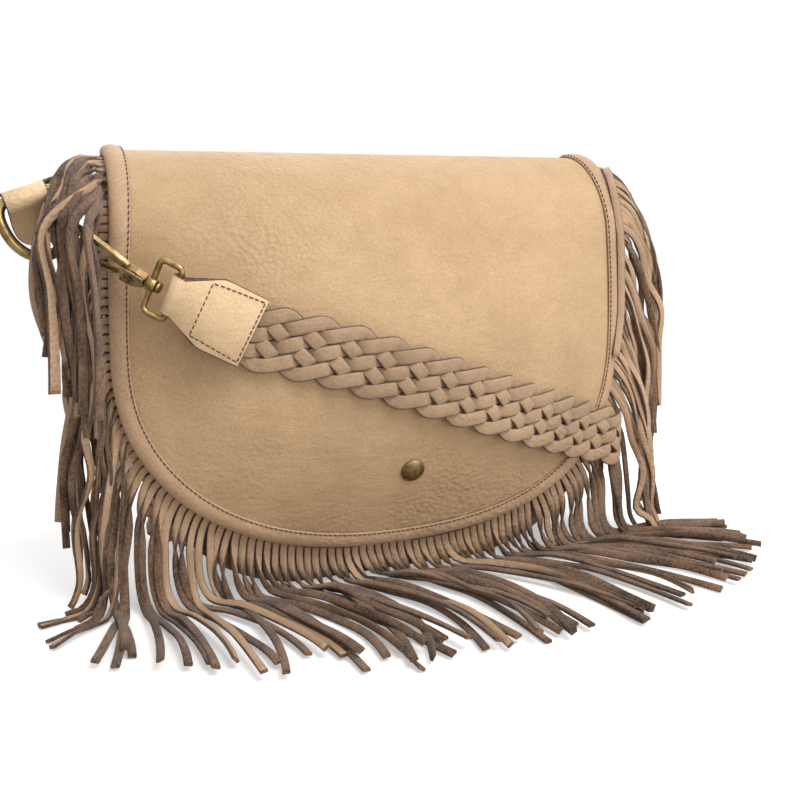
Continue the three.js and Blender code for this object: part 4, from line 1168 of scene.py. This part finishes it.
# Braid
FRONT_WAY = ((-46, 139), (5, 121), (60, 101), (105, 85), (132, 76))
BEHIND_WAY = (
    (153, -50, 70), (166, -32, 66), (170, -8, 62), (164, 16, 58), (146, 31, 54), (110, 34, 48),
    (60, 34, 40), (10, 35, 33), (-40, 36, 27), (-84, 38, 22), (-112, 46, 20), (-124, 63, 20),
    (-113, 81, 22), (-86, 89, 31), (-50, 87, 49), (-5, 80, 80), (44, 71, 117),
)
STRAP_STANDOFF = 2.3
STRANDS = 6
STRAND_WIDTH = 8.3
STRAND_THICK = 2.2
STRAND_STEP = 1.7
BRAID_HALF = 18.4
BRAID_PERIOD = 118.0
BRAID_SKEW = 0.32


def braid_route():
    start = [RING_BAR + TAB_WAY * s for s in (RING_REACH + 3, STRAP_TAB_LENGTH - 8, STRAP_TAB_LENGTH + 4)]
    front = [vec(x, flap_y(x, z) - STRAP_STANDOFF - BRAID_THICK / 2, z) for x, z in FRONT_WAY]
    end = [vec(-p[0], 2 * TURN_Y - p[1], p[2]) for p in start][::-1]
    return Route(catmull(start + front + [vec(*p) for p in BEHIND_WAY] + end, 20))


def strand_height(q):
    """How far a strand stands off the braid's middle, from -1 to 1, at twelfths q of its zigzag"""
    if q < 1:
        return math.sin(q * QUARTER)
    if q <= 5:
        return math.cos(math.pi * (q - 1))
    if q <= 7:
        return math.cos(math.pi * (q - 5) / 2)
    if q <= 11:
        return -math.cos(math.pi * (q - 7))
    return -math.cos(math.pi * (q - 11) / 2)


def strand_place(s, phase):
    """How far across the braid a strand lies, and how far it stands off its middle"""
    q = ((s / BRAID_PERIOD + phase) % 1.0) * 12
    u = 2 * (q / 6 if q <= 6 else 2 - q / 6) - 1
    corner = 0.84
    if abs(u) > corner:
        over = (abs(u) - corner) / (1 - corner)
        u = math.copysign(corner + (1 - corner) * 0.62 * math.sin(over * QUARTER), u)
    reach = BRAID_HALF - STRAND_WIDTH * 0.46
    height = strand_height(q)
    height = math.copysign(min(1.0, abs(height) * 1.5) ** 0.8, height)
    return u * reach / 0.94, height


def strand_line(route, phase):
    """A strand's middle line, and for each point of it the way off the braid's face"""
    hide = STRAP_TAB_LENGTH - RING_REACH
    count = int(route.length / STRAND_STEP)
    pts, normals = [], []
    for i in range(count + 1):
        s = route.length * i / count
        x, h = strand_place(s, phase)
        s = min(route.length, max(0.0, s + BRAID_SKEW * x))
        t = route.tangent(s, 4)
        w = unit(UP - t * t[2])
        n = np.cross(t, w)
        loose = smooth((min(s, route.length - s) - hide + 6) / 12)
        pts.append(route.at(s) + w * x + n * h * STRAND_THICK * mix(0.42, 0.7, loose))
        normals.append(n)
    return pts, normals


def make_braid():
    route = braid_route()
    a, b = STRAND_WIDTH / 2, STRAND_THICK / 2
    half = [(-a, 0.05 * b), (-a * 0.87, 0.78 * b), (-a * 0.64, b), (0, 1.25 * b)]
    half += [(a * 0.64, b), (a * 0.87, 0.78 * b), (a, 0.05 * b)]
    section = half + [(u, -v) for u, v in half[::-1]]
    one = [1, 0, 0, 0, 0, 1, 1]
    shape = Shape()
    for j in range(STRANDS):
        pts, normals = strand_line(route, j / STRANDS)
        rings = []
        for i, p in enumerate(pts):
            t = tangent_at(pts, i)
            n = square_to(normals[i], t)
            w = np.cross(n, t)
            ring = [p + w * u + n * v for u, v in section]
            rings.append([vec(q[0], q[1], max(q[2], 0.2)) for q in ring])
        shape.loft(rings, materials=one + one, cap=1)
    shape.make("braid_strands", [STRAND_MAT, EDGE_MAT], slot="leather", replaces=("braided_strap",))


# Stage
FLOOR_HALF = 4.0
CAMERA_AT = (-0.2288, -0.5857, 0.2198)
CAMERA_TILT = math.radians(78.92)
CAMERA_TURN = math.radians(-23.39)
CAMERA_LENS = 46.2

# Area lights as (name, place, what it faces, power, size)
LIGHTS = (
    ("key", (0.2, -0.75, 1.2), (0, 0, 0.14), 11, 0.8),
    ("front", (0.25, -1.3, 0.25), (0, 0, 0.08), 3.3, 0.7),
    ("fill", (0.95, -0.7, 0.6), (0, 0, 0.1), 3, 1.0),
    ("rim", (0.1, 0.8, 1.0), (0, 0, 0.15), 5, 0.8),
)


def floor_material():
    """A bright floor that fades to white, and throws back a little warm grey light"""
    m = bpy.data.materials.new("floor")
    nt, out = empty_tree(m, "OutputMaterial")
    kinds = ("BsdfDiffuse", "BsdfDiffuse", "Emission", "Emission", "TexCoord", "VectorMath")
    kinds += ("MixShader", "LightPath", "AddShader", "MixShader")
    nodes = [new_node(nt, kind) for kind in kinds]
    diffuse, bounce, glow, white, coord, length, fade, path, add, choose = nodes
    diffuse.inputs["Color"].default_value = (0.9, 0.9, 0.9, 1)
    bounce.inputs["Color"].default_value = (0.5, 0.48, 0.46, 1)
    glow.inputs["Strength"].default_value = 0.34
    length.operation = "LENGTH"
    nt.links.new(coord.outputs["Object"], length.inputs[0])
    nt.links.new(remap(nt, length.outputs["Value"], 0.3, 0.62), fade.inputs[0])
    nt.links.new(path.outputs["Is Camera Ray"], choose.inputs[0])
    for giver, taker, socket in (
        (diffuse, add, 0), (glow, add, 1), (add, fade, 1), (white, fade, 2),
        (bounce, choose, 1), (fade, choose, 2), (choose, out, 0),
    ):
        nt.links.new(giver.outputs[0], taker.inputs[socket])
    return m


def make_floor():
    mesh = bpy.data.meshes.new("floor")
    corners = [(x * FLOOR_HALF, y * FLOOR_HALF, 0) for x, y in ((-1, -1), (1, -1), (1, 1), (-1, 1))]
    mesh.from_pydata(corners, [], [(0, 1, 2, 3)])
    mesh.materials.append(floor_material())
    floor = add_object("floor", mesh)


def make_world():
    """White all round: full for the camera and for reflections, and half as strong as light"""
    world = bpy.data.worlds.new("world")
    SCENE.world = world
    nt, out = empty_tree(world, "OutputWorld")
    back = new_node(nt, "Background")
    nt.links.new(back.outputs[0], out.inputs[0])
    path = new_node(nt, "LightPath")
    seen = math_node(nt, "MAXIMUM", path.outputs["Is Camera Ray"], path.outputs["Is Glossy Ray"])
    nt.links.new(remap(nt, seen, 0.0, 1.0, 0.5, 1.0), back.inputs["Strength"])
    back.inputs["Color"].default_value = (1, 1, 1, 1)


def make_lights():
    for name, at, aim, power, size in LIGHTS:
        light = bpy.data.lights.new(name, "AREA")
        light.energy = power
        light.size = size
        ob = add_object(name, light)
        ob.location = at
        d = np.array(aim) - np.array(at)
        tilt = QUARTER - math.atan2(-d[2], math.hypot(d[0], d[1]))
        ob.rotation_euler = (tilt, 0, math.atan2(-d[0], d[1]))


def make_camera():
    cam = bpy.data.cameras.new("camera")
    cam.sensor_width = 36
    cam.lens = CAMERA_LENS
    cam.clip_start = 0.01
    ob = add_object("camera", cam)
    ob.location = CAMERA_AT
    ob.rotation_euler = (CAMERA_TILT, 0, CAMERA_TURN)
    SCENE.camera = ob
    SCENE.view_settings.view_transform = "Standard"


make_floor()
make_world()
make_lights()
make_camera()
make_flap()
make_front_panel()
make_gusset()
make_binding()
make_fringes()
make_hardware()
make_snap_cap()
make_braid()
